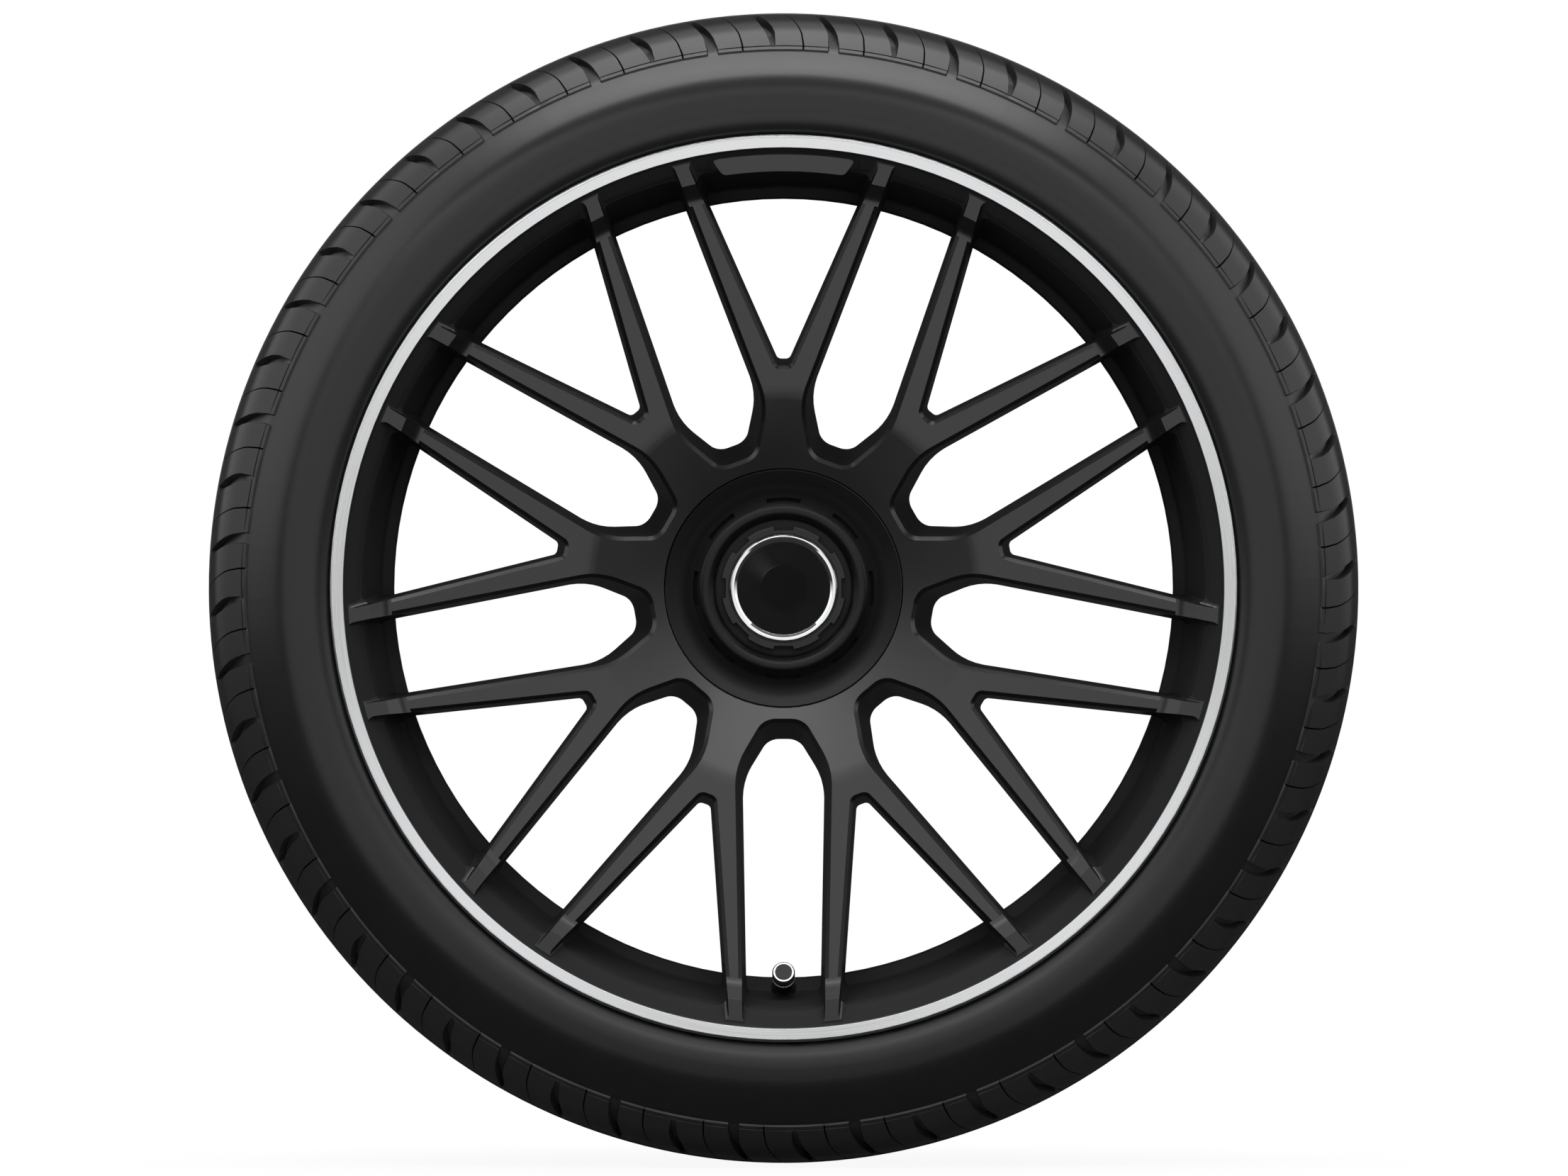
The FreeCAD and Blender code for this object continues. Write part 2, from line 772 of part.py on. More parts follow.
def lateral_tools():
    """Shoulder grooves of one side: an open and a blind one in each pitch of the tread."""
    top = crown_at(tread_half)
    fall = lateral_lean / (top - shoulder_radius)
    band = turned([
        (crown_at(lateral_start) - lateral_depth, lateral_start, 0),
        (top - lateral_depth, tread_half - lateral_depth, lateral_foot),
        (shoulder_radius - overshoot, shoulder_height - lateral_depth / 2, 0),
        (shoulder_radius - overshoot, section_half, 0),
        (tyre_radius + lateral_depth, section_half, 0),
        (tyre_radius + lateral_depth, lateral_start, 0),
    ])
    half = math.degrees(lateral_width / 2 / top)
    high = tyre_radius + 2 * lateral_depth
    low = shoulder_radius - lateral_depth
    lens = shoulder_radius + blind_stop

    def spot(radius, aside):
        return polar_point(radius, (top - radius) * fall + aside)

    opened = [spot(high, -half), spot(high, half), spot(low, half), spot(low, -half)]
    middle = (top + lens) / 2
    blind = [spot(high, -half), spot(high, half), spot(middle, half), spot(lens, 0), spot(middle, -half)]
    pitch = 360.0 / pitch_count
    tools = []
    for index, outline in enumerate((opened, blind)):
        slab = plate(outline, lateral_start, section_half)
        groove = spun(band.common(slab), pitch / 4 + index * pitch / 2)
        tools += around(groove, pitch_count)
    return tools


def tyre():
    """The tyre, one piece, with the same shoulder grooves on both sides, half a pitch apart."""
    outboard = lateral_tools()
    inboard = [tool.mirror(Vector(0, 0, 0), Vector(0, 0, 1)) for tool in outboard]
    inboard = [spun(tool, 90.0 / pitch_count) for tool in inboard]
    return tyre_body().cut(outboard + inboard)


def hub_cover():
    """Dished cover with a raised ring around the nut, a skirt and a tube down to the hub."""
    under = cover_floor - cover_wall
    bend_height = hub_face - cover_bend_depth
    valley = hub_face - cover_valley_depth
    peak = hub_face + bulge_height
    foot = bulge_radius + bulge_foot
    nut_wall = nut_flange_radius + play
    profile = [
        (cover_radius, hub_face - cover_skirt, 0),
        (cover_radius, hub_face - play, small_edge),
        (cover_bend_radius, bend_height, cover_bend_round),
        (cover_valley_radius, valley, cover_valley_round),
        (foot, valley, edge_round),
        (bulge_radius + bulge_round / 2, peak, bulge_round),
        (bulge_radius - bulge_round / 2, peak, bulge_round),
        (nut_wall, peak - bulge_round / 2, turned_edge),
        (nut_wall, cover_floor, 0),
        (nut_stem_radius + play, cover_floor, 0),
        (nut_stem_radius + play, under, 0),
        (tube_inner_radius, under, 0),
        (tube_inner_radius, tube_end, 0),
        (tube_inner_radius + tube_wall, tube_end, 0),
        (tube_inner_radius + tube_wall, under, 0),
        (nut_wall + cover_wall, under, 0),
        (bulge_radius - bulge_round / 2, peak - cover_wall, bulge_round / 2),
        (bulge_radius + bulge_round / 2, peak - cover_wall, bulge_round / 2),
        (foot - bulge_wall, valley - cover_wall, turned_edge),
        (cover_valley_radius, valley - cover_wall, cover_valley_round),
        (cover_bend_radius, bend_height - cover_wall, cover_bend_round),
        (cover_radius - cover_wall, hub_face - 2 * cover_wall, turned_edge),
        (cover_radius - cover_wall, hub_face - cover_skirt, 0),
    ]
    cuts = []
    for index in range(slot_count):
        cuts.append(sector(slot_radius - slot_width / 2, slot_radius + slot_width / 2,
                           valley - slot_depth, peak + overshoot, slot_angle,
                           index * 360.0 / slot_count))
    return turned(profile).cut(cuts)


def cover_seal():
    """Flat rubber ring under the cover's tube."""
    return turned([
        (tube_inner_radius, hub_floor, 0),
        (tube_inner_radius + tube_wall, hub_floor, 0),
        (tube_inner_radius + tube_wall, tube_end, 0),
        (tube_inner_radius, tube_end, 0),
    ])


def cap_nut():
    """Castellated nut with a hollow stem and bayonet lugs at its end."""
    flange_top = nut_seat + nut_flange_thickness
    stem_end = lug_bottom + play
    profile = [
        (0, inlay_floor, 0),
        (trim_radius + disc_gap, inlay_floor, 0),
        (trim_radius + disc_gap, nut_top, fine_edge),
        (nut_crown_radius, nut_top, turned_edge),
        (nut_crown_radius, flange_top, small_edge),
        (nut_flange_radius - nut_flange_bevel, flange_top, 0),
        (nut_flange_radius, flange_top - nut_flange_bevel, 0),
        (nut_flange_radius, nut_seat, small_edge),
        (nut_stem_radius, nut_seat, 0),
        (nut_stem_radius, stem_end, 0),
        (nut_stem_radius - nut_stem_wall, stem_end, 0),
        (nut_stem_radius - nut_stem_wall, nut_seat, 0),
        (0, nut_seat, 0),
    ]
    body = turned(profile)
    lugs = []
    for index in range(lug_count):
        lugs.append(sector(nut_stem_radius - overshoot, lug_radius, stem_end, lip_bottom - play,
                           lug_angle, index * 360.0 / lug_count))
    body = body.fuse(lugs)
    notch = plate([
        (-nut_notch_half_inner, nut_crown_radius - nut_notch_depth, small_edge),
        (nut_notch_half_inner, nut_crown_radius - nut_notch_depth, small_edge),
        (nut_notch_half_outer, nut_flange_radius + overshoot, 0),
        (-nut_notch_half_outer, nut_flange_radius + overshoot, 0),
    ], flange_top, nut_top + overshoot)
    groove = turned([
        (nut_stem_radius - clip_depth, clip_bottom, 0),
        (nut_stem_radius + overshoot, clip_bottom, 0),
        (nut_stem_radius + overshoot, clip_bottom + clip_thickness, 0),
        (nut_stem_radius - clip_depth, clip_bottom + clip_thickness, 0),
    ])
    return body.cut(around(notch, nut_notch_count) + [groove])


def nut_retaining_ring():
    """Open spring ring in the stem's groove, under the cover's floor."""
    inner = nut_stem_radius - clip_depth
    outer = nut_stem_radius + clip_reach
    top = clip_bottom + clip_thickness
    ring = turned([(inner, clip_bottom, 0), (outer, clip_bottom, 0), (outer, top, 0), (inner, top, 0)])
    gap = sector(inner - overshoot, outer + overshoot, clip_bottom - overshoot, top + overshoot,
                 clip_gap_angle, 0)
    return ring.cut(gap)


def trim_ring():
    """Bright ring with a rounded crown, let into the nut's face."""
    width = trim_radius - trim_inner_radius
    top = inlay_floor + trim_height
    return turned([
        (trim_inner_radius, inlay_floor, 0),
        (trim_radius, inlay_floor, 0),
        (trim_radius, top - width / 3, small_edge),
        (trim_radius - width / 3, top, turned_edge),
        (trim_inner_radius + width / 3, top - small_edge, turned_edge),
        (trim_inner_radius, top - width / 3, small_edge),
    ])


def centre_disc():
    """Blank domed disc inside the bright ring."""
    radius = trim_inner_radius - disc_gap
    edge = inlay_floor + disc_edge_height
    return turned([
        (0, inlay_floor, 0),
        (radius, inlay_floor, 0),
        (radius, edge, fine_edge),
        (radius / 2, edge + disc_dome, radius),
        (0, edge + disc_dome, 0),
    ])


def valve_rubber():
    """Snap-in rubber body: outer shoulder and neck, a waist in the rim's hole, inner bulb."""
    front = -valve_spot_depth
    back = -valve_wall
    bore = stem_shank_radius
    return turned([
        (bore, back - rubber_tail, 0),
        (rubber_tip_radius, back - rubber_tail, turned_edge),
        (rubber_tail_radius, back - rubber_tail_band, turned_edge),
        (rubber_tail_radius, back, small_edge),
        (valve_hole_radius, back, 0),
        (valve_hole_radius, front, 0),
        (rubber_flange_radius, front, small_edge),
        (rubber_flange_radius, front + rubber_flange_thickness, turned_edge),
        (rubber_neck_radius, front + rubber_shoulder, edge_round),
        (rubber_neck_radius, rubber_length, small_edge),
        (bore, rubber_length, 0),
    ])


def valve_stem():
    """Metal stem: shank in the rubber, threaded end for the cap, bore for the core."""
    core_end = stem_length - core_sink - core_length
    bore_end = core_end - pin_travel - core_plunger - core_seal_thickness - stem_bore_margin
    return turned([
        (stem_passage_radius, -stem_tail, 0),
        (stem_shank_radius, -stem_tail, fine_edge),
        (stem_shank_radius, rubber_length, 0),
        (stem_thread_radius, rubber_length, fine_edge),
        (stem_thread_radius, stem_length, small_edge),
        (stem_bore_radius, stem_length, fine_edge),
        (stem_bore_radius, bore_end, 0),
        (stem_passage_radius, bore_end, 0),
    ])


def valve_core_body():
    """Core barrel with a bridge at its top and a ledge at its foot, both bored for the pin."""
    top = stem_length - core_sink
    foot = top - core_length
    outer = stem_bore_radius - fine_gap / 3
    room = outer - core_wall
    bore = core_pin_radius + fine_gap
    return turned([
        (bore, foot, 0),
        (outer, foot, fine_edge),
        (outer, top, fine_edge),
        (bore, top, 0),
        (bore, top - core_ledge, 0),
        (room, top - core_ledge, 0),
        (room, foot + core_ledge, 0),
        (bore, foot + core_ledge, 0),
    ])


def valve_core_pin():
    """Sprung pin: tip at the stem's mouth, collar for the spring, plunger below the barrel."""
    top = stem_length - core_sink
    foot = top - core_length
    outer = stem_bore_radius - core_wall - 2 * fine_gap
    collar = top - core_ledge - fine_gap
    seat = foot - fine_gap - core_seal_thickness
    return turned([
        (0, seat - core_plunger, 0),
        (outer, seat - core_plunger, fine_edge),
        (outer, seat, 0),
        (core_pin_radius, seat, 0),
        (core_pin_radius, collar - core_collar, 0),
        (outer, collar - core_collar, 0),
        (outer, collar, fine_edge / 2),
        (core_pin_radius, collar, 0),
        (core_pin_radius, stem_length - pin_tip_sink, fine_edge),
        (0, stem_length - pin_tip_sink, 0),
    ])


def valve_core_seal():
    """Rubber washer on the pin's plunger, against the barrel's foot."""
    foot = stem_length - core_sink - core_length
    outer = stem_bore_radius - core_wall - 2 * fine_gap
    top = foot - fine_gap
    return turned([
        (core_pin_radius, top - core_seal_thickness, 0),
        (outer, top - core_seal_thickness, 0),
        (outer, top, fine_edge / 2),
        (core_pin_radius, top, 0),
    ])


def valve_core_spring():
    """Coil between the barrel's ledge and the pin's collar."""
    top = stem_length - core_sink
    low = top - core_length + core_ledge + spring_wire_radius
    high = top - core_ledge - fine_gap - core_collar - spring_wire_radius
    outer = stem_bore_radius - fine_gap / 3 - core_wall
    coil = (outer + core_pin_radius) / 2
    path = Part.makeHelix((high - low) / spring_turns, high - low, coil)
    path.translate(Vector(0, 0, low))
    section = Part.Wire(Part.makeCircle(spring_wire_radius, Vector(coil, 0, low), Vector(0, 1, 0)))
    return Part.Wire(path).makePipeShell([section], True, True)


def valve_cap():
    """Knurled dust cap with a plain neck and a shallow seat for the inlay in its face."""
    bore = stem_thread_radius + fine_gap
    head = cap_start + cap_neck_length
    end = cap_start + cap_length
    profile = [
        (bore, cap_start, fine_edge),
        (cap_neck_radius, cap_start, small_edge),
        (cap_neck_radius, head - cap_edge, small_edge),
        (cap_radius, head, fine_edge),
        (cap_radius, end - cap_edge, 0),
        (cap_radius - cap_edge, end, fine_edge),
        (cap_inlay_radius, end, fine_edge / 2),
        (cap_inlay_radius, end - cap_inlay_depth, 0),
        (0, end - cap_inlay_depth, 0),
        (0, end - cap_roof, 0),
        (bore, end - cap_roof, 0),
    ]
    body = turned(profile)
    angle = math.radians(180.0 / cap_knurl_count)
    reach = cap_radius + cap_knurl_depth
    half = reach * math.tan(angle) * cap_knurl_share
    notch = plate([
        (0, cap_radius - cap_knurl_depth, fine_edge / 2),
        (half, reach, 0),
        (-half, reach, 0),
    ], head + cap_edge, end + overshoot)
    return body.cut(around(notch, cap_knurl_count))


def valve_cap_disc():
    """Blank inlay in the cap's face."""
    end = cap_start + cap_length
    radius = cap_inlay_radius - disc_gap
    return turned([
        (0, end - cap_inlay_depth, 0),
        (radius, end - cap_inlay_depth, 0),
        (radius, end - disc_gap, fine_edge),
        (0, end - disc_gap, 0),
    ])


def valve_cap_seal():
    """Rubber washer in the cap's roof, over the stem's mouth."""
    top = cap_start + cap_length - cap_roof
    return turned([
        (cap_seal_hole, top - cap_seal_thickness, 0),
        (stem_thread_radius, top - cap_seal_thickness, fine_edge),
        (stem_thread_radius, top, fine_edge),
        (cap_seal_hole, top, 0),
    ])


def sensor_housing():
    """Sensor case behind the valve, with a bored lug and a recess for its screw."""
    top = -stem_tail
    outline = [
        (-sensor_width / 2, -sensor_height / 2, sensor_round),
        (sensor_width / 2, -sensor_height / 2, sensor_round),
        (sensor_width / 2, sensor_height / 2, sensor_round),
        (-sensor_width / 2, sensor_height / 2, sensor_round),
    ]
    case = plate(outline, top - sensor_length, top)
    ends = [edge for edge in case.Edges if edge.BoundBox.ZLength < fine_gap]
    case = case.makeFillet(sensor_round / 2, ends)
    hole = pillar(screw_radius + fine_gap, top - sensor_lug - overshoot, top + overshoot)
    recess = pillar(screw_head_radius + 2 * play, top - sensor_length - overshoot, top - sensor_lug)
    return case.cut([hole, recess])


def sensor_screw():
    """Hollow screw through the sensor's lug into the stem's end."""
    under = -stem_tail - sensor_lug
    return turned([
        (screw_bore_radius, under - screw_head_height, 0),
        (screw_head_radius, under - screw_head_height, small_edge),
        (screw_head_radius, under, 0),
        (screw_radius, under, 0),
        (screw_radius, -stem_tail + screw_bite, fine_edge),
        (screw_bore_radius, -stem_tail + screw_bite, 0),
    ])


def weight_row(inner, outer, angle):
    """Ring sector of the balance weights' width on the inner barrel."""
    low = weight_height - weight_width / 2
    return sector(inner, outer, low, low + weight_width, angle, 0)


def weight_tape():
    """Adhesive tape under the weights."""
    angle = weight_count * (weight_angle + weight_gap_angle)
    return spun(weight_row(tape_radius - tape_thickness, tape_radius, angle), weight_place)


def balance_weight(index):
    """One of the row of like weights on the tape."""
    outer = tape_radius - tape_thickness - tape_gap
    weight = weight_row(outer - weight_thickness, outer, weight_angle)
    pitch = weight_angle + weight_gap_angle
    return spun(weight, weight_place + pitch * (index - (weight_count - 1) / 2))


os.makedirs("parts", exist_ok=True)
save("wheel", wheel())
save("tyre", tyre())
save("hub_cover", hub_cover())
save("cover_seal", cover_seal())
save("cap_nut", cap_nut())
save("nut_retaining_ring", nut_retaining_ring())
save("trim_ring", trim_ring())
save("centre_disc", centre_disc())
save("valve_rubber", valve_set(valve_rubber()))
save("valve_stem", valve_set(valve_stem()))
save("valve_core_body", valve_set(valve_core_body()))
save("valve_core_spring", valve_set(valve_core_spring()))
save("valve_core_pin", valve_set(valve_core_pin()))
save("valve_core_seal", valve_set(valve_core_seal()))
save("valve_cap", valve_set(valve_cap()))
save("valve_cap_disc", valve_set(valve_cap_disc()))
save("valve_cap_seal", valve_set(valve_cap_seal()))
save("sensor_housing", valve_set(sensor_housing()))
save("sensor_screw", valve_set(sensor_screw()))
save("weight_tape", weight_tape())
for number in range(weight_count):
    save("balance_weight_%d" % (number + 1), balance_weight(number))
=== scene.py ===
# %% [markdown]
# # A forged car wheel and its tyre
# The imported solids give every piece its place, in metres: the axle lies along Y, the outboard face
# looks along -Y and +Z is up. This lesson gives them their looks. The tyre is made again as one
# worked-out surface, because a real tread has sipes and moulded lines that plain solids leave out.
# One blank plate is added, and every other piece keeps its solid and gets a finish made of shader
# nodes.

# %% Load the frame
import json
import math

import bpy
import numpy as np
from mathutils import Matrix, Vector


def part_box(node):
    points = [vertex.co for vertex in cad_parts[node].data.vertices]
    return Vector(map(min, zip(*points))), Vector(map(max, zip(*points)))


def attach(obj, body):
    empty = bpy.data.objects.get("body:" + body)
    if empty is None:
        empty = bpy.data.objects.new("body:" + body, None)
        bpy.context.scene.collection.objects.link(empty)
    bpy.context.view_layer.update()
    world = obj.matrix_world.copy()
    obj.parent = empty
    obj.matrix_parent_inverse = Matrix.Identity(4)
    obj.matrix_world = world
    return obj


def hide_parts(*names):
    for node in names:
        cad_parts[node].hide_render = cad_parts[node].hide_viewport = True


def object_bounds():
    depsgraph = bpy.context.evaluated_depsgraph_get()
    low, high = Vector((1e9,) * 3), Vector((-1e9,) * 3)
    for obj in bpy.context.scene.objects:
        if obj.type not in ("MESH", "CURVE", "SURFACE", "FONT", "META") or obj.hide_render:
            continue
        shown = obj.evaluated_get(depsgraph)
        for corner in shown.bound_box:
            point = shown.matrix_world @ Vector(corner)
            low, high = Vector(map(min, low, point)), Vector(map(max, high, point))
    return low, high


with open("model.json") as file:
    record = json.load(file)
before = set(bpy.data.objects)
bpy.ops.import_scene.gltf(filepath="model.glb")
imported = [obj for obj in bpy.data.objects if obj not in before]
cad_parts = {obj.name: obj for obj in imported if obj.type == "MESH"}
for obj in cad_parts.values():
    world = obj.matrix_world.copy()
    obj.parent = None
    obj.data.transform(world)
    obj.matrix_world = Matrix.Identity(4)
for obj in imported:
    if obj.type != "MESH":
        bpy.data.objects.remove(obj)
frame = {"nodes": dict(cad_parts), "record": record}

MM = 0.001
cad_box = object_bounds()
print("box of the solids in mm:", np.round(np.array(cad_box) / MM, 1).tolist())

# %% [markdown]
# ## Shader sums as Python
# A finish is mostly arithmetic on places: how far a point lies from the axle, how strong a grain is
# there. Adding Math nodes by hand hides that arithmetic, so one small class wraps a socket and lets
# Python's own operators add the nodes.

# %% A socket that takes part in sums
class Field:
    """One shader value; sums with numbers or other fields add Math nodes."""

    def __init__(self, tree, socket=None):
        self.tree = tree
        self.socket = socket

    def make(self, kind, settings=None, inputs=None, output=0):
        """Add a node of a kind: its settings first, then its sockets' values or links."""
        node = self.tree.nodes.new(kind)
        for name, value in (settings or {}).items():
            setattr(node, name, value)
        for name, value in (inputs or {}).items():
            if isinstance(value, Field):
                self.tree.links.new(value.socket, node.inputs[name])
            else:
                node.inputs[name].default_value = value
        return Field(self.tree, node.outputs[output] if len(node.outputs) else None)

    def maths(self, operation, first, second=0.0):
        """One Math node."""
        return self.make("ShaderNodeMath", {"operation": operation}, {0: first, 1: second})

    def __add__(self, other):
        return self.maths("ADD", self, other)

    def __sub__(self, other):
        return self.maths("SUBTRACT", self, other)

    def __rsub__(self, other):
        return self.maths("SUBTRACT", other, self)

    def __mul__(self, other):
        return self.maths("MULTIPLY", self, other)

    def __truediv__(self, other):
        return self.maths("DIVIDE", self, other)

    def __pow__(self, other):
        return self.maths("POWER", self, other)

    __radd__ = __add__
    __rmul__ = __mul__

    def ease(self, low, high):
        """Smooth step: 0 below low, 1 above high."""
        settings = {"interpolation_type": "SMOOTHSTEP", "clamp": True}
        ends = {"Value": self, "From Min": low, "From Max": high}
        return self.make("ShaderNodeMapRange", settings, ends)

    def mix(self, first, second):
        """Colour between two, by this field."""
        sockets = {"Factor": self, 6: first, 7: second}
        return self.make("ShaderNodeMix", {"data_type": "RGBA"}, sockets, 2)


# %% [markdown]
# A finish is then one material: constants sit on its main shader, and fields feed what varies over the
# surface, such as colour, roughness and the fine relief.

# %% One finish and its sockets
class Finish:
    """A material with one main shader; constants go straight on the shader's sockets."""

    def __init__(self, name, **constants):
        self.material = bpy.data.materials.new(name)
        self.material.use_nodes = True
        self.tree = self.material.node_tree
        self.shader = self.tree.nodes["Principled BSDF"]
        self.field = Field(self.tree)
        for socket, value in constants.items():
            self.shader.inputs[socket.replace("_", " ")].default_value = value
        self.spot = self.field.make("ShaderNodeTexCoord", output=3)

    def link(self, socket, field):
        """Feed one of the shader's sockets from a field."""
        self.tree.links.new(field.socket, self.shader.inputs[socket])

    def noise(self, cells, detail=2.0, place=None):
        """Noise between 0 and 1 with so many cells to the metre."""
        sockets = {"Vector": place or self.spot, "Scale": cells, "Detail": detail}
        return self.field.make("ShaderNodeTexNoise", inputs=sockets)

    def places(self):
        """Across, depth and height of a point in metres, and its reach from the axle.

        The reach is the square root of across squared plus height squared.
        """
        split = self.field.make("ShaderNodeSeparateXYZ", inputs={0: self.spot})
        across, depth, height = [Field(self.tree, socket) for socket in split.socket.node.outputs]
        return across, depth, height, (across * across + height * height) ** 0.5

    def bump(self, height, distance, strength=1.0):
        """Normal from a height between 0 and 1 that stands for a distance in metres."""
        sockets = {"Height": height, "Distance": distance, "Strength": strength}
        return self.field.make("ShaderNodeBump", inputs=sockets)


def grey(value, tint=0.0):
    """Opaque grey as a shader colour, a little blue or, below zero, a little warm."""
    return (value * (1 - tint), value, value * (1 + tint), 1.0)


def new_piece(name, points, faces):
    """Mesh object from points in metres and faces as lists of corners, put into the scene."""
    mesh = bpy.data.meshes.new(name)
    mesh.from_pydata(points, [], faces)
    mesh.update()
    piece = bpy.data.objects.new(name, mesh)
    bpy.context.scene.collection.objects.link(piece)
    return piece


print("shader sums ready")

# %% [markdown]
# ## The tyre's section
# A tyre is a torus whose section is drawn as lines with rounded corners: tread with its four ring
# grooves, shoulder, sidewall, rim rib and bead. Each corner is (radius, side, rounding, points on
# the arc), in millimetres, and the rounding is an arc tangent to both lines. The other half is the
# mirror image. Drawing the section once and carrying it round the axle keeps every line true.

# %% Section of the tyre
tyre_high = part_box("tyre")[1]
tyre_radius = tyre_high[2] / MM
tyre_half = tyre_high[1] / MM
crown_curve = 900.0
tread_half = 106.0
tread_round = 26.0
shoulder_radius = tyre_radius - 26.0
shoulder_side = tread_half + 14.5
flank_radius = shoulder_radius - 21.0
flank_side = shoulder_side + 15.3
flank_start = (5.0, 3.25)
rib_radius = 293.0
rib_side = tyre_half - 0.6
flange_radius = 284.2
flange_side = 130.2
rest_side = 120.5
bead_radius = 266.9
toe_side = 99.7
toe_radius = 265.0
inner_rise = 12.0
wall = 9.0
tread_wall = 15.0
ring_grooves = ((19.0, 11.0), (57.0, 9.5))
ring_depth = 7.5
ring_taper = 1.2
edge_round = 0.8
lateral_start = 67.0
lateral_sides = (lateral_start - 0.4, lateral_start, 76.0, 85.0)
line_radius = 339.4
line_steps = (1.6, 0.35, 0.0, -0.35)
ledge_radius = 337.0
ledge_steps = (0.6, 0.3, -0.3, -0.8)


def crown(side):
    """Radius of the tread at a side: the tyre's radius less a parabola."""
    return tyre_radius - side * side / (2 * crown_curve)


def arc_points(before, corner, after, rounding, count):
    """Points on the arc of a rounding that touches both lines through a corner.

    The arc's centre lies on the line that halves the corner, at rounding over the half angle's sine.
    """
    to_last = (before - corner) / np.linalg.norm(before - corner)
    to_next = (after - corner) / np.linalg.norm(after - corner)
    half = np.arccos(np.clip(to_last @ to_next, -1, 1)) / 2
    inward = (to_last + to_next) / max(np.linalg.norm(to_last + to_next), 1e-9)
    centre = corner + inward * rounding / np.sin(half)
    turn = np.linspace(-1, 1, count)[:, None] * (np.pi / 2 - half)
    square = np.array([-inward[1], inward[0]])
    across = np.sign(to_next @ square) * square
    return centre - inward * rounding * np.cos(turn) + across * rounding * np.sin(turn)


def outline(corners):
    """Closed line through rounded corners, as one array of (radius, side) points."""
    spots = np.array([corner[:2] for corner in corners])
    runs = []
    for index, (_, _, rounding, count) in enumerate(corners):
        if rounding == 0:
            runs.append(spots[index:index + 1])
            continue
        before = spots[index - 1]
        after = spots[(index + 1) % len(spots)]
        runs.append(arc_points(before, spots[index], after, rounding, count))
    return np.concatenate(runs)


def ring_groove(place, width):
    """Corners of one groove that runs round the tread."""
    near, far = place - width / 2, place + width / 2
    return [
        (crown(near), near, edge_round, 2),
        (crown(near) - ring_depth, near + ring_taper, edge_round, 2),
        (crown(far) - ring_depth, far - ring_taper, edge_round, 2),
        (crown(far), far, edge_round, 2),
    ]


def tread_line(side):
    """A plain point of the tread, on the straight line from the last ring groove to the shoulder."""
    last = ring_grooves[-1][0] + ring_grooves[-1][1] / 2
    fall = (crown(tread_half) - crown(last)) / (tread_half - last)
    return (crown(last) + (side - last) * fall, side, 0, 1)


def shoulder_line(radius):
    """A plain point of the shoulder, on the straight line from the tread to the flank."""
    share = (crown(tread_half) - radius) / (crown(tread_half) - shoulder_radius)
    return (radius, tread_half + (shoulder_side - tread_half) * share, 0, 1)


block_radii = [line_radius + step for step in line_steps]
block_radii += [ledge_radius + step for step in ledge_steps]
half_section = ring_groove(*ring_grooves[0]) + ring_groove(*ring_grooves[1])
half_section += [tread_line(side) for side in lateral_sides]
half_section += [(crown(tread_half), tread_half, tread_round, 11)]
half_section += [shoulder_line(radius) for radius in block_radii]
half_section += [
    (shoulder_radius - flank_start[0], shoulder_side + flank_start[1], 0, 1),
    (flank_radius, flank_side, 27.0, 10),
    (rib_radius, rib_side, 22.0, 10),
    (flange_radius, flange_side, 0.8, 2),
    (flange_radius, rest_side, 9.0, 3),
    (bead_radius, rest_side, 6.5, 3),
    (toe_radius, toe_side, 1.5, 2),
    (toe_radius + inner_rise, toe_side + 1.0, 5.0, 2),
    (flange_radius + inner_rise, rib_side - wall, 12.0, 2),
    (shoulder_radius - 6.0, shoulder_side - wall, 20.0, 3),
    (tyre_radius - tread_wall, tread_half - tread_wall, 18.0, 3),
]
other_half = [(radius, -side, rounding, count) for radius, side, rounding, count in half_section[::-1]]
section = outline(half_section + other_half)
along = np.roll(section, -1, axis=0) - np.roll(section, 1, axis=0)
section_normal = np.stack([along[:, 1], -along[:, 0]], axis=1)
section_normal /= np.linalg.norm(section_normal, axis=1)[:, None]
print("tyre section:", len(section), "points, radius", round(tyre_radius, 1), "mm")

# %% [markdown]
# ## The tread's pattern
# Each of 28 equal pitches has four cuts across the shoulder: an open groove that runs out on to the
# sidewall, a fine sipe, a blind groove that ends in a point, and a second sipe. A column of the grid
# lies on each edge of each cut, so the edges are crisp. The columns lean and bend: they slant across
# the tread and turn straight down the shoulder, which is what makes real grooves look hooked from
# the side. A cut's depth is carried along the section's own normal.

# %% Columns and cuts of the tread
pitch_count = 28
pitch = 360.0 / pitch_count
lean = 2.1
lean_power = 2.6
lean_span = 24.0
side_shift = pitch / 4
cut_depth = 5.0
step_down = 1.1
widen_span = 20.0
open_width = (5.0, 7.4)
open_rise = 15.0
open_floor = 0.82
blind_width = 7.2
blind_rise = (0.5, 13.0)
blind_floor = 0.7
blind_tip = 15.0
blind_tip_power = 0.6
blind_waist = 0.3
blind_waist_power = 3
sipe_width = (0.7, 1.2)
sipe_depth = 3.5
sipe_rise = (-0.5, 2.5)
half_way = 0.125
middle_radius = 310.0
start_margin = 0.01
middle_margin = 0.5
ledge_margin = 0.4

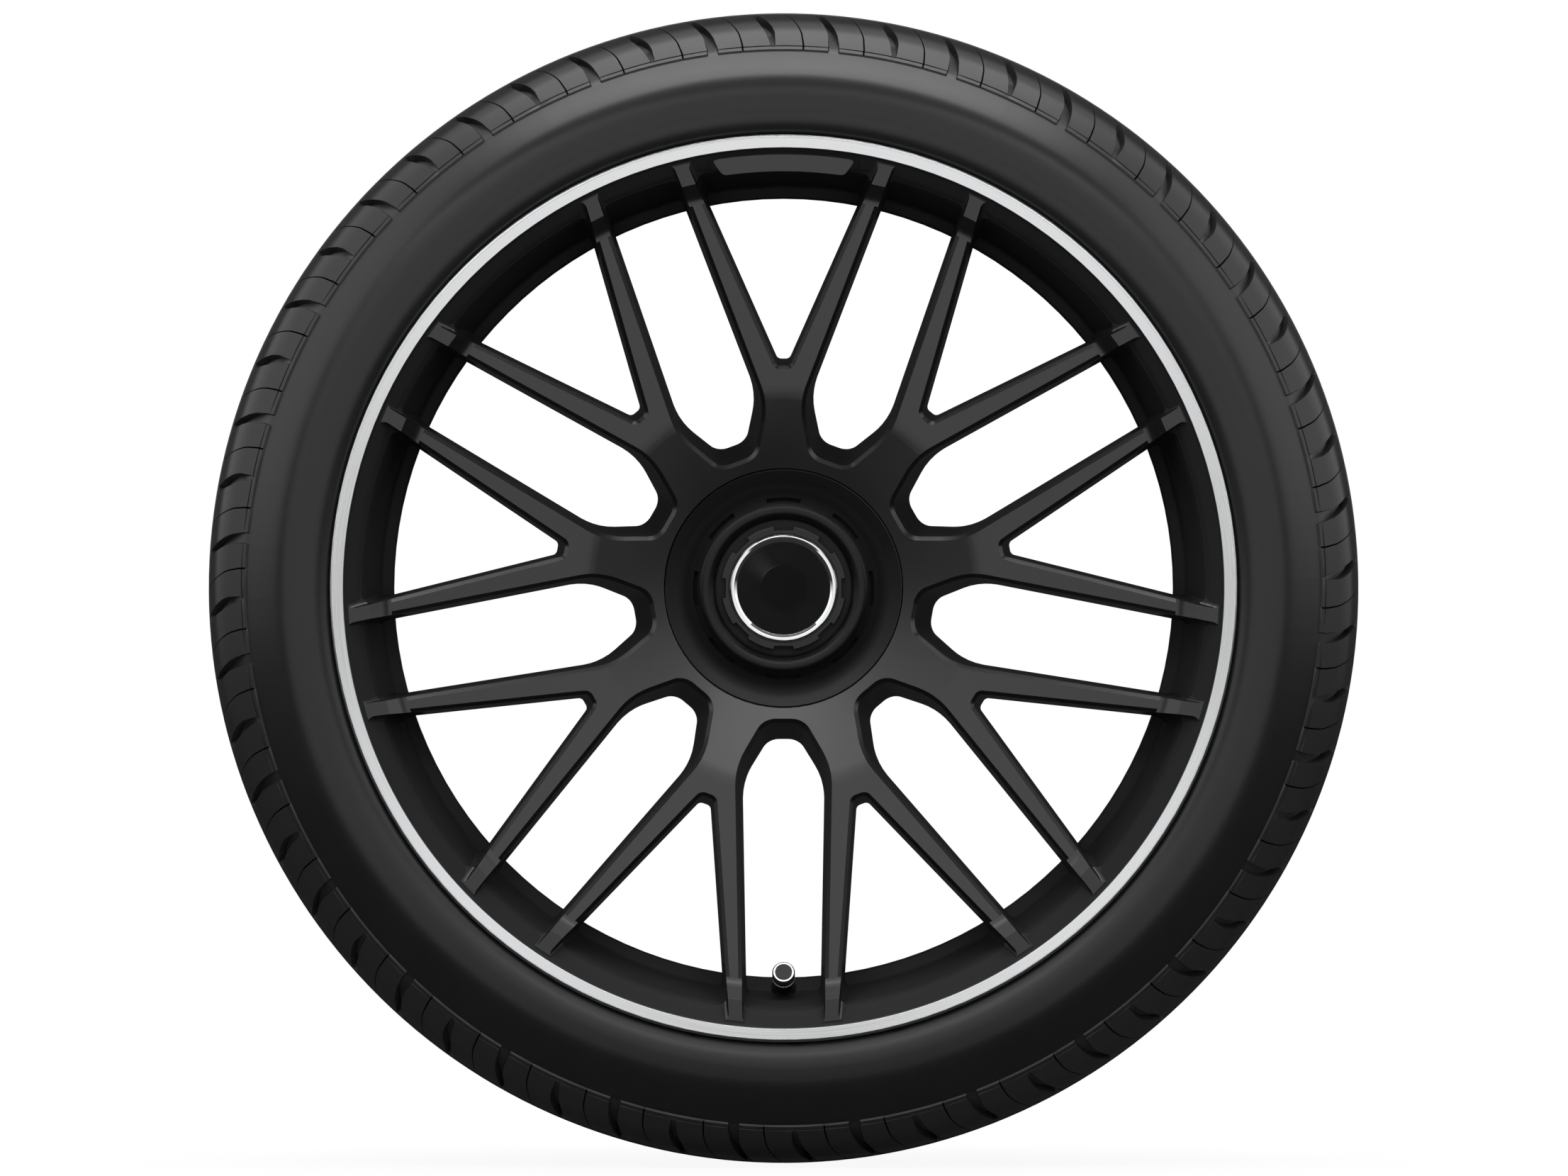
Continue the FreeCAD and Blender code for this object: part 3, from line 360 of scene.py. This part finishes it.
radius, side = section[:, 0], section[:, 1]
outer = (section_normal * (section - (middle_radius, 0))).sum(axis=1) > 0
on_shoulder = outer & (np.abs(side) >= lateral_start - start_margin)
on_block = on_shoulder & (radius > ledge_radius - ledge_margin)
above = np.clip(radius - ledge_radius, 0, None)
rise = np.clip(above / lean_span, 0, 1)
lean_share = rise.copy()
lean_share[np.abs(side) < lateral_start - middle_margin] = rise[on_shoulder].max()
shift = lean * (1 - lean_share ** lean_power)
twist = side_shift * (0.5 - np.clip(side / lateral_start, -1, 1) / 2)


def ramp(value, low, high):
    """Smooth step between two values: three times the share squared less twice its cube."""
    place = np.clip((value - low) / (high - low), 0, 1)
    return place * place * (3 - 2 * place)


down = np.clip(1 - above / widen_span, 0, 1)
open_depth = step_down + (cut_depth - step_down) * ramp(above, 0, open_rise)
open_depth = np.where(on_block, open_depth, 0)
blind_depth = np.where(on_shoulder, cut_depth * ramp(above, *blind_rise), 0)
fine_depth = np.where(on_block, sipe_depth * ramp(above, *sipe_rise), 0)
open_half = (open_width[0] + (open_width[1] - open_width[0]) * down) / 2
blind_half = blind_width / 2 * np.clip(above / blind_tip, 0, 1) ** blind_tip_power
blind_half = blind_half * (1 - blind_waist * rise ** blind_waist_power)
fine_half = (sipe_width[0] + (sipe_width[1] - sipe_width[0]) * down) / 2

cuts = (
    (0.25, open_half, open_depth, (-1, -open_floor, open_floor, 1), (0, 1, 1, 0)),
    (0.50, fine_half, fine_depth, (-1, 0, 1), (0, 1, 0)),
    (0.75, blind_half, blind_depth, (-1, -blind_floor, blind_floor, 1), (0, 1, 1, 0)),
    (1.00, fine_half, fine_depth, (-1, 0, 1), (0, 1, 0)),
)
angles = []
depths = []
lines = []
for place, half, depth, offsets, dips in cuts:
    for offset, dip in zip(offsets, dips):
        angles.append(place * pitch + np.degrees(offset * half / radius))
        depths.append(depth * dip)
        lines.append(1.0 if depth is not open_depth else 0.0)
    angles.append(np.full(len(section), (place + half_way) * pitch))
    depths.append(np.zeros(len(section)))
    lines.append(1.0)
angles = np.array(angles).T
depths = np.array(depths).T
lines = np.array(lines)[None, :]
print("columns to a pitch:", angles.shape[1])

# %% [markdown]
# A moulded line runs along the foot of the blocks, broken at each open groove. Below it the blocks end
# in a ledge, and the sidewall lies a millimetre lower until it comes up again.

# %% Build the tyre
line_depth = 0.8
line_spread = 0.2
ledge_half = 0.3
low_foot = (331.9, 336.5)
crease_angle = 32.0

thin_line = line_depth * np.exp(-((radius - line_radius) / line_spread) ** 2)
low_wall = step_down * (1 - ramp(radius, ledge_radius - ledge_half, ledge_radius + ledge_half))
low_wall = low_wall * ramp(radius, *low_foot)
depths = np.maximum(depths, np.where(outer, thin_line, 0)[:, None] * lines)
depths = np.maximum(depths, np.where(outer, low_wall, 0)[:, None])


def closed_grid(name, points):
    """Mesh from a grid of points that is closed both ways, its faces turned outwards.

    The faces look outwards when the sum of corner dot (corner cross corner) is above zero.
    """
    rows, columns = points.shape[:2]
    index = np.arange(rows * columns).reshape(rows, columns)
    right = np.roll(index, -1, axis=1)
    faces = np.stack([index, np.roll(index, -1, axis=0), np.roll(right, -1, axis=0), right], axis=-1)
    faces = faces.reshape(-1, 4)
    flat = points.reshape(-1, 3)
    corner = flat[faces]
    volume = np.einsum("ij,ij->i", corner[:, 0], np.cross(corner[:, 1], corner[:, 2])).sum()
    if volume < 0:
        faces = faces[:, ::-1]
    print(name, len(faces) * 2, "triangles")
    return new_piece(name, flat.tolist(), faces.tolist())


def smooth_over(piece, angle):
    """Smooth shading, broken where two faces meet at more than an angle in degrees."""
    piece.data.shade_smooth()
    piece.data.set_sharp_from_angle(angle=math.radians(angle))


def tyre_surface():
    """Section carried round the axle: (R sin a, -s, R cos a), sunk along the normal in each cut."""
    turn = np.arange(pitch_count)[None, :, None] * pitch
    angle = np.radians((angles + (shift + twist)[:, None])[:, None, :] + turn)
    sunk = np.broadcast_to(depths[:, None, :], angle.shape)
    reach = radius[:, None, None] - sunk * section_normal[:, 0, None, None]
    place = side[:, None, None] - sunk * section_normal[:, 1, None, None]
    points = np.stack([reach * np.sin(angle), -place, reach * np.cos(angle)], axis=-1) * MM
    return points.reshape(len(section), -1, 3)


tyre = closed_grid("tyre_mould", tyre_surface())
smooth_over(tyre, crease_angle)
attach(tyre, "wheel")
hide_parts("tyre")

# %% [markdown]
# ## The blank plate
# The pocket at the top carries a sign plate, left blank here. Its face looks almost straight outboard
# while the pocket's wall slopes, so the plate stands off the wall at its inner edge. It is drawn flat,
# as a rounded trapezium of radius against arc, then bent round the axle. Three outlines make a solid:
# one sunk in the wall, one at the edge and one a little further in, which leaves a bevel.

# %% Plate in the top pocket
plate_radii = (260.2, 271.6)
plate_halves = (40.0, 46.0)
plate_rounds = (4.5, 2.5)
plate_face = 130.3
plate_tilt = math.tan(math.radians(7.0))
plate_bevel = 0.5
plate_sunk = 5.0
plate_crease = 30.0
corner_points = 6
edge_points = 240
wall_foot = (262.7, 124.05)
wall_slope = 0.57


def wall_line(reach):
    """Height of the pocket's wall at a radius: the foot's height plus the slope times the way out."""
    return wall_foot[1] + (reach - wall_foot[0]) * wall_slope


def plate_edge(inset):
    """Rounded trapezium of (radius, arc) points, a distance inside the plate's edge."""
    near, far = plate_radii[0] + inset, plate_radii[1] - inset
    low, high = plate_halves[0] - inset, plate_halves[1] - inset
    line = outline([
        (near, -low, plate_rounds[0], corner_points), (near, low, plate_rounds[0], corner_points),
        (far, high, plate_rounds[1], corner_points), (far, -high, plate_rounds[1], corner_points),
    ])
    closed = np.concatenate([line, line[:1]])
    run = np.concatenate([[0], np.linalg.norm(np.diff(closed, axis=0), axis=1).cumsum()])
    spots = np.linspace(0, run[-1], edge_points, endpoint=False)
    return np.stack([np.interp(spots, run, closed[:, axis]) for axis in (0, 1)], axis=1)


def bent(edge, outwards, height):
    """Outline bent round the axle: the angle is arc over the plate's outer radius."""
    turn = edge[:, 1] / plate_radii[1]
    reach = edge[:, 0] + outwards
    return np.stack([reach * np.sin(turn), -height, reach * np.cos(turn)], axis=1) * MM


def stacked_solid(name, rings):
    """Solid whose sides join outlines of equal count, closed by one face at each end."""
    count = rings.shape[1]
    index = np.arange(count * len(rings)).reshape(len(rings), count)
    right = np.roll(index, -1, axis=1)
    sides = np.stack([index[:-1], right[:-1], right[1:], index[1:]], axis=-1).reshape(-1, 4)
    faces = sides.tolist() + [index[-1].tolist(), index[0, ::-1].tolist()]
    print(name, len(faces), "faces")
    return new_piece(name, rings.reshape(-1, 3).tolist(), faces)


def face_height(edge):
    """Height of the plate's face: it falls by the tilt's tangent for each step towards the axle."""
    return plate_face - (plate_radii[1] - edge[:, 0]) * plate_tilt


rim_edge = plate_edge(0.0)
face_edge = plate_edge(plate_bevel)
plate = stacked_solid("blank_plate", np.stack([
    bent(rim_edge, plate_sunk, wall_line(rim_edge[:, 0] + plate_sunk) - plate_sunk),
    bent(rim_edge, 0.0, face_height(rim_edge) - plate_bevel),
    bent(face_edge, 0.0, face_height(face_edge)),
]))
smooth_over(plate, plate_crease)
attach(plate, "wheel")

# %% [markdown]
# ## Finishes
# Satin black paint covers the forging, and a lathe takes it off again on the outer flange, which is
# left bright with fine rings. The rings are noise that changes fast along the radius and slowly round
# it, so light streaks across them as on turned metal.
#
# Paint on the wall of the outer pocket is rougher, and it carries painted shade. A point belongs to
# that wall when it stands hardly proud of the wall's own line, which leaves out the spokes' ends and
# the plate. Metal with a near-black colour reflects almost nothing, so a half share of metal halves
# the paint's reflection: painted shade in the recess.

# %% Paint of the wheel
flange_inner = 275.5 * MM
flange_front = 128.0 * MM
flange_rings = 2000.0
flange_streaks = 3.0
pad_reach = 78.0 * MM
pad_side = 22.3 * MM
pocket_inner = (236.0 * MM, 242.0 * MM)
pocket_outer = (274.8 * MM, 275.4 * MM)
pocket_proud = (0.3 * MM, 0.8 * MM)
pocket_front = (60.0 * MM, 70.0 * MM)
# Share of near-black metal on the outer pocket's wall, which paints shade there.
pocket_painted_shade = 0.5
pocket_rough = 0.45
paint_rough = 0.24
cool = 0.01


def turned_rings(finish, rings, streaks):
    """Noise with so many rings to the metre and so many streaks to a turn."""
    across, depth, height, reach = finish.places()
    sockets = {"X": reach * rings, "Y": across / reach * streaks, "Z": height / reach * streaks}
    place = finish.field.make("ShaderNodeCombineXYZ", inputs=sockets)
    return reach, depth, finish.noise(cells=1.0, detail=3.0, place=place)


def bare_metal(reach, depth):
    """1 on the outer flange's face and on the mounting pad, 0 elsewhere."""
    flange = reach.ease(flange_inner - 0.2 * MM, flange_inner + 0.2 * MM)
    flange = flange * (1 - depth.ease(-flange_front - 0.5 * MM, -flange_front + 0.5 * MM))
    pad = depth.ease(-pad_side - 0.1 * MM, -pad_side + 0.1 * MM)
    return flange + pad * (1 - reach.ease(pad_reach, pad_reach + 1 * MM))


def pocket_wall(reach, depth):
    """1 on the outer pocket's wall: between two radii, far enough in front, not proud of its line."""
    proud = 0 - depth - wall_line(reach / MM) * MM
    ring = reach.ease(*pocket_inner) * (1 - reach.ease(*pocket_outer))
    return ring * (1 - proud.ease(*pocket_proud)) * (0 - depth).ease(*pocket_front)


def wheel_paint():
    """Satin black paint; bare turned metal on the outer flange and the mounting pad; painted shade on
    the outer pocket's wall.
    """
    finish = Finish("wheel_paint", Specular_IOR_Level=0.75)
    reach, depth, rings = turned_rings(finish, flange_rings, flange_streaks)
    bare = bare_metal(reach, depth)
    pocket = pocket_wall(reach, depth)
    cloud = finish.noise(cells=35.0, detail=4.0)
    grain = finish.noise(cells=2600.0, detail=2.0)
    paint = cloud.mix(grey(0.0045, cool), grey(0.0065, cool))
    turned = rings.mix(grey(0.70, cool), grey(0.84, cool))
    finish.link("Base Color", bare.mix(paint, turned))
    # Near-black metal on the pocket's wall halves its reflection: painted shade.
    finish.link("Metallic", bare + pocket_painted_shade * pocket)
    satin = paint_rough + 0.04 * cloud + pocket_rough * pocket
    finish.link("Roughness", (1 - bare) * satin + bare * (0.15 + 0.18 * rings))
    relief = (1 - bare) * grain * 0.1 + bare * rings
    finish.link("Normal", finish.bump(relief, distance=0.006 * MM))
    return finish.material


# %% [markdown]
# The hub cover and its nut have the same satin paint, left dull where the photograph shows deep shade:
# in the cover's valley and on the floors of the nut's notches.

# %% Paint of the cover and the nut
dull_rough = 0.9
dull_near_fade = 1.0 * MM
dull_far_fade = 5.0 * MM
dull_deep_fade = 0.5 * MM


def satin_black(name, base, roughness, gloss, dull_from, dull_to, dull_under):
    """Satin black paint, left dull between two radii on what lies deeper than a height."""
    finish = Finish(name, Specular_IOR_Level=gloss)
    _, depth, _, reach = finish.places()
    cloud = finish.noise(cells=60.0, detail=3.0)
    grain = finish.noise(cells=3200.0, detail=2.0)
    ring = reach.ease(dull_from - dull_near_fade, dull_from + dull_near_fade)
    ring = ring * (1 - reach.ease(dull_to - dull_far_fade, dull_to + dull_far_fade))
    dull = ring * depth.ease(-dull_under, -dull_under + dull_deep_fade)
    finish.link("Base Color", cloud.mix(grey(base * 0.85), grey(base * 1.2)))
    finish.link("Roughness", roughness - 0.03 + 0.06 * cloud + (dull_rough - roughness) * dull)
    finish.link("Normal", finish.bump(grain, distance=0.01 * MM))
    return finish.material


# %% [markdown]
# Tyre rubber is matt and a shade lighter than black. Moulds leave it with a soft, slightly uneven
# skin, a little duller on the tread than on the sidewall.

# %% Rubber, plastics and bright metals
tread_from = (336.0 * MM, 338.0 * MM)


def tyre_rubber():
    """Moulded rubber: fine grain, faint clouds, a duller tread."""
    finish = Finish("tyre_rubber", Specular_IOR_Level=0.46)
    reach = finish.places()[-1]
    tread = reach.ease(*tread_from)
    cloud = finish.noise(cells=24.0, detail=4.0)
    grain = finish.noise(cells=1500.0, detail=3.0)
    skin = cloud.mix(grey(0.012), grey(0.015))
    finish.link("Base Color", tread.mix(skin, grey(0.022)))
    finish.link("Roughness", 0.3 + 0.06 * cloud + 0.04 * tread)
    finish.link("Normal", finish.bump(grain, distance=0.05 * MM, strength=0.6))
    return finish.material


def soft_rubber():
    """Black rubber of the valve and the seals."""
    finish = Finish("soft_rubber", Specular_IOR_Level=0.4)
    grain = finish.noise(cells=2400.0, detail=3.0)
    finish.link("Base Color", grain.mix(grey(0.010), grey(0.016)))
    finish.link("Roughness", 0.55 + 0.1 * grain)
    finish.link("Normal", finish.bump(grain, distance=0.02 * MM))
    return finish.material


def metal(name, light, dark, roughness, cells=900.0, distance=0.004 * MM):
    """Bare metal with a fine uneven polish."""
    finish = Finish(name, Metallic=1.0)
    grain = finish.noise(cells, detail=3.0)
    finish.link("Base Color", grain.mix(dark, light))
    finish.link("Roughness", roughness * 0.8 + roughness * 0.4 * grain)
    finish.link("Normal", finish.bump(grain, distance))
    return finish.material


def gloss_black():
    """Deep gloss lacquer under a clear coat."""
    finish = Finish("gloss_black", Specular_IOR_Level=0.1, Coat_Weight=1.0, Coat_Roughness=0.03)
    cloud = finish.noise(cells=80.0, detail=2.0)
    finish.link("Base Color", cloud.mix(grey(0.006), grey(0.009)))
    finish.link("Roughness", 0.12 + 0.06 * cloud)
    return finish.material


def grained(name, base, roughness):
    """Moulded plastic or foam with a visible grain."""
    finish = Finish(name, Specular_IOR_Level=0.4)
    grain = finish.noise(cells=1800.0, detail=3.0)
    finish.link("Base Color", grain.mix(grey(base * 0.8), grey(base * 1.25)))
    finish.link("Roughness", roughness - 0.05 + 0.1 * grain)
    finish.link("Normal", finish.bump(grain, distance=0.03 * MM))
    return finish.material


brass_light = (0.78, 0.60, 0.28, 1.0)
brass_dark = (0.62, 0.45, 0.18, 1.0)
chrome_light = grey(0.9, cool)
chrome_dark = grey(0.84, cool)
finishes = {
    "wheel_paint": wheel_paint(),
    "tyre_rubber": tyre_rubber(),
    "cover_paint": satin_black(
        "cover_paint", base=0.004, roughness=0.36, gloss=0.32,
        dull_from=53.5 * MM, dull_to=65.0 * MM, dull_under=90.0 * MM,
    ),
    "nut_paint": satin_black(
        "nut_paint", base=0.006, roughness=0.22, gloss=0.6,
        dull_from=34.0 * MM, dull_to=46.0 * MM, dull_under=79.4 * MM,
    ),
    "bright_chrome": metal(
        "bright_chrome", chrome_light, chrome_dark, roughness=0.05, cells=400.0, distance=0.001 * MM,
    ),
    "gloss_black": gloss_black(),
    "soft_rubber": soft_rubber(),
    "valve_brass": metal("valve_brass", brass_light, brass_dark, roughness=0.25),
    "spring_steel": metal("spring_steel", grey(0.56), grey(0.46), roughness=0.25),
    "cap_metal": metal("cap_metal", grey(0.78, cool), grey(0.66, cool), roughness=0.22),
    "sensor_plastic": grained("sensor_plastic", base=0.02, roughness=0.5),
    "tape": grained("tape", base=0.07, roughness=0.85),
    "weight_metal": metal("weight_metal", grey(0.42), grey(0.34), roughness=0.4),
}
print("finishes:", len(finishes))

# %% [markdown]
# The record names a slot for every node, and the finish of the same name fills it.

# %% Give each piece its finish
for subpart in frame["record"]["subparts"]:
    piece = frame["nodes"][subpart["node"]]
    piece.data.materials.clear()
    piece.data.materials.append(finishes[subpart["material_slot"]])
tyre.data.materials.append(finishes["tyre_rubber"])
plate.data.materials.append(finishes["wheel_paint"])

# %% [markdown]
# ## The studio
# The wheel stands on a pale floor in front of white. Black satin shows little of its own colour, so
# its look is what it reflects: a white front, one softbox high in front, another overhead, and dark
# cards left, right, behind and under it. A dark hood around the camera keeps the glossy centre black,
# and five flags keep light off the pocket's wall and the bright flange. The cards show only in
# reflections. White seen by the camera comes from the world and the floor's own tone, not from more
# light on the object.

# %% Floor, cards and world
floor_height = float(cad_box[0][2])
floor_half = 9.0
floor_matt = 0.85
floor_fade = (0.1, 0.5)
floor_white = 0.93
card_half = 2.2
card_front = -3.4
card_lean = 1.4
card_back = 1.6
card_top = 3.0
card_low = floor_height + 0.5 * MM
floor_edge = ((0.0, 0.75), (0.4, 0.98), (1.0, 1.75), (2.2, 3.4))
side_beside = (-2.3, -1.5)
side_high = (-0.45, 0.45)
side_strength = 1.2
hood_place = -3.3
hood_half = 0.25
hood_points = 48
hood_spot = (-0.1, hood_place, 0.1)
spot_radius = 0.1
spot_strength = 0.8
dark_tone = 0.03
fill = 0.25


def sheet(name, points, material):
    """One flat face as a stage object."""
    piece = new_piece(name, points, [tuple(range(len(points)))])
    piece.data.materials.append(material)
    return piece


def plain_material(name, shader):
    """Material whose surface is the one shader that a function makes in its tree."""
    material = bpy.data.materials.new(name)
    material.use_nodes = True
    material.node_tree.nodes.clear()
    field = Field(material.node_tree)
    field.make("ShaderNodeOutputMaterial", inputs={0: shader(field)})
    return material


def seen_directly(field):
    """1 for rays that the camera, a gloss or a clear piece sends out, 0 for the rest."""
    path = field.make("ShaderNodeLightPath").socket.node.outputs
    names = ("Is Camera Ray", "Is Glossy Ray", "Is Transmission Ray")
    rays = [Field(field.tree, path[name]) for name in names]
    return field.maths("MINIMUM", rays[0] + rays[1] + rays[2], 1.0)


def length(field, place, centre):
    """Distance of a place from a centre."""
    settings = {"operation": "DISTANCE"}
    return field.make("ShaderNodeVectorMath", settings, {0: place, 1: centre}, 1)


def floor_tone(field):
    """Pale floor: matt near the wheel, so that it keeps a shadow, and its own white further off."""
    place = field.make("ShaderNodeTexCoord", output=3)
    far = length(field, place, (0.0, 0.0, floor_height)).ease(*floor_fade)
    matt = field.make("ShaderNodeBsdfDiffuse", inputs={"Color": grey(floor_matt)})
    white = field.make("ShaderNodeEmission", inputs={"Color": grey(1.0), "Strength": 1.0})
    share = seen_directly(field) * (floor_white + (1 - floor_white) * far)
    return field.make("ShaderNodeMixShader", inputs={0: share, 1: matt, 2: white})


def glow_of(field, strength):
    """White shader that gives off light of a strength, a number or a field."""
    return field.make("ShaderNodeEmission", inputs={"Strength": strength})


def hood_tone(field):
    """Dark hood with one soft pale spot up to its left."""
    place = field.make("ShaderNodeTexCoord", output=3)
    spot = 1 - length(field, place, hood_spot).ease(0.0, spot_radius)
    return glow_of(field, dark_tone + spot_strength * spot)


def side_tone(field):
    """Side card: dark in front and below, paler beside the wheel and above."""
    place = field.make("ShaderNodeTexCoord", output=3)
    spot = field.make("ShaderNodeSeparateXYZ", inputs={0: place}).socket.node.outputs
    beside = Field(field.tree, spot[1]).ease(*side_beside)
    high = Field(field.tree, spot[2]).ease(*side_high)
    return glow_of(field, dark_tone + side_strength * beside * high)


def even_tone(tone):
    """One tone all over a card."""
    return lambda field: glow_of(field, tone)


def card(name, points, shader):
    """A flat card that only reflections see."""
    piece = sheet(name, points, plain_material(name, shader))
    piece.visible_camera = False
    piece.visible_diffuse = False
    piece.visible_transmission = False
    piece.visible_shadow = False


sheet("floor", [
    (-floor_half, -floor_half, floor_height), (floor_half, -floor_half, floor_height),
    (floor_half, floor_half, floor_height), (-floor_half, floor_half, floor_height),
], plain_material("pale_floor", floor_tone))
for name, edge in (("left_card", -card_half), ("right_card", card_half)):
    card(name, [
        (edge, card_front, card_low), (edge, card_back, card_low),
        (edge, card_back, card_top), (edge, card_front + card_lean, card_top),
    ], side_tone)
card("back_card", [
    (-card_half, card_back, card_low), (card_half, card_back, card_low),
    (card_half, card_back, card_top), (-card_half, card_back, card_top),
], even_tone(dark_tone))
front_edge = [(-aside, -near, card_low) for aside, near in floor_edge[:0:-1]]
front_edge += [(aside, -near, card_low) for aside, near in floor_edge]
card("floor_card", front_edge + [
    (card_half, card_back, card_low), (-card_half, card_back, card_low),
], even_tone(dark_tone))
turns = np.linspace(0, 2 * np.pi, hood_points, endpoint=False)
card("hood", [
    (hood_half * math.cos(turn), hood_place, hood_half * math.sin(turn)) for turn in turns
], hood_tone)

# Each flag: its name, its two ends along X, Y and Z in metres, and its tone.
flags = (
    ("flag_above", (-0.5, 0.5), (-0.5, -0.22), (0.55, 0.55), 0.15),
    ("flag_between", (-1.0, 1.0), (-1.36, -0.95), (2.0, 2.0), 0.3),
    ("flag_high", (-0.32, 0.32), (hood_place, hood_place), (0.62, 1.25), 0.4),
    ("flag_left", (-1.25, -0.66), (hood_place, hood_place), (-0.3, 0.3), 0.3),
    ("flag_right", (0.66, 1.25), (hood_place, hood_place), (-0.3, 0.3), 0.3),
)
for name, wide, deep, high, tone in flags:
    card(name, [
        (wide[0], deep[0], high[0]), (wide[1], deep[0], high[0]),
        (wide[1], deep[1], high[1]), (wide[0], deep[1], high[1]),
    ], even_tone(tone))

world = bpy.data.worlds.new("studio")
bpy.context.scene.world = world
world.use_nodes = True
world.node_tree.nodes.clear()
sky = Field(world.node_tree)
strength = seen_directly(sky) * (1 - fill) + fill
glow = sky.make("ShaderNodeBackground", inputs={"Color": grey(1.0), "Strength": strength})
sky.make("ShaderNodeOutputWorld", inputs={0: glow})
print("floor at", round(floor_height, 4), "m")

# %% [markdown]
# ## Light and camera
# The front softbox stands at 36 to 42 degrees above the axle and the overhead one at 67 to 85: the
# hub's cone reflects the first and the tyre's shoulder the second. The camera stands far away on the
# axle with a long lens, so the wheel is seen square on, almost without perspective.

# %% Softboxes and camera
def softbox(name, elevation, distance, width, depth, radiance, aside=0.0):
    """Rectangular lamp that faces the hub from an elevation in front, with a given radiance.

    The lamp's energy is radiance times pi times its area.
    """
    lamp = bpy.data.lights.new(name, "AREA")
    lamp.shape = "RECTANGLE"
    lamp.size = width
    lamp.size_y = depth
    lamp.energy = radiance * math.pi * width * depth
    holder = bpy.data.objects.new(name, lamp)
    rise = math.radians(elevation)
    holder.location = (aside, -distance * math.cos(rise), distance * math.sin(rise))
    holder.rotation_euler = (-Vector(holder.location)).to_track_quat("-Z", "Y").to_euler()
    holder.visible_camera = False
    bpy.context.scene.collection.objects.link(holder)


softbox(
    "front_softbox", elevation=39.0, distance=3.3, width=4.0, depth=0.32, radiance=3.3, aside=-0.3,
)
softbox("overhead_softbox", elevation=76.0, distance=3.0, width=3.4, depth=0.95, radiance=5.5)

image_width = 2212
image_height = 1659
focal_pixels = 26786.0
camera_distance = 12.0
wheel_spot = (1105.4, 829.7)
lens = bpy.data.cameras.new("camera")
lens.sensor_width = 36.0
lens.lens = focal_pixels / image_width * lens.sensor_width
lens.clip_end = 100.0
lens.shift_x = (image_width / 2 - wheel_spot[0]) / image_width
lens.shift_y = (wheel_spot[1] - image_height / 2) / image_width
camera = bpy.data.objects.new("camera", lens)
camera.location = (0.0, -camera_distance, 0.0)
camera.rotation_euler = (math.pi / 2, 0.0, 0.0)
bpy.context.scene.collection.objects.link(camera)
bpy.context.scene.camera = camera
bpy.context.scene.view_settings.view_transform = "Standard"
print("lens", round(lens.lens, 1), "mm")
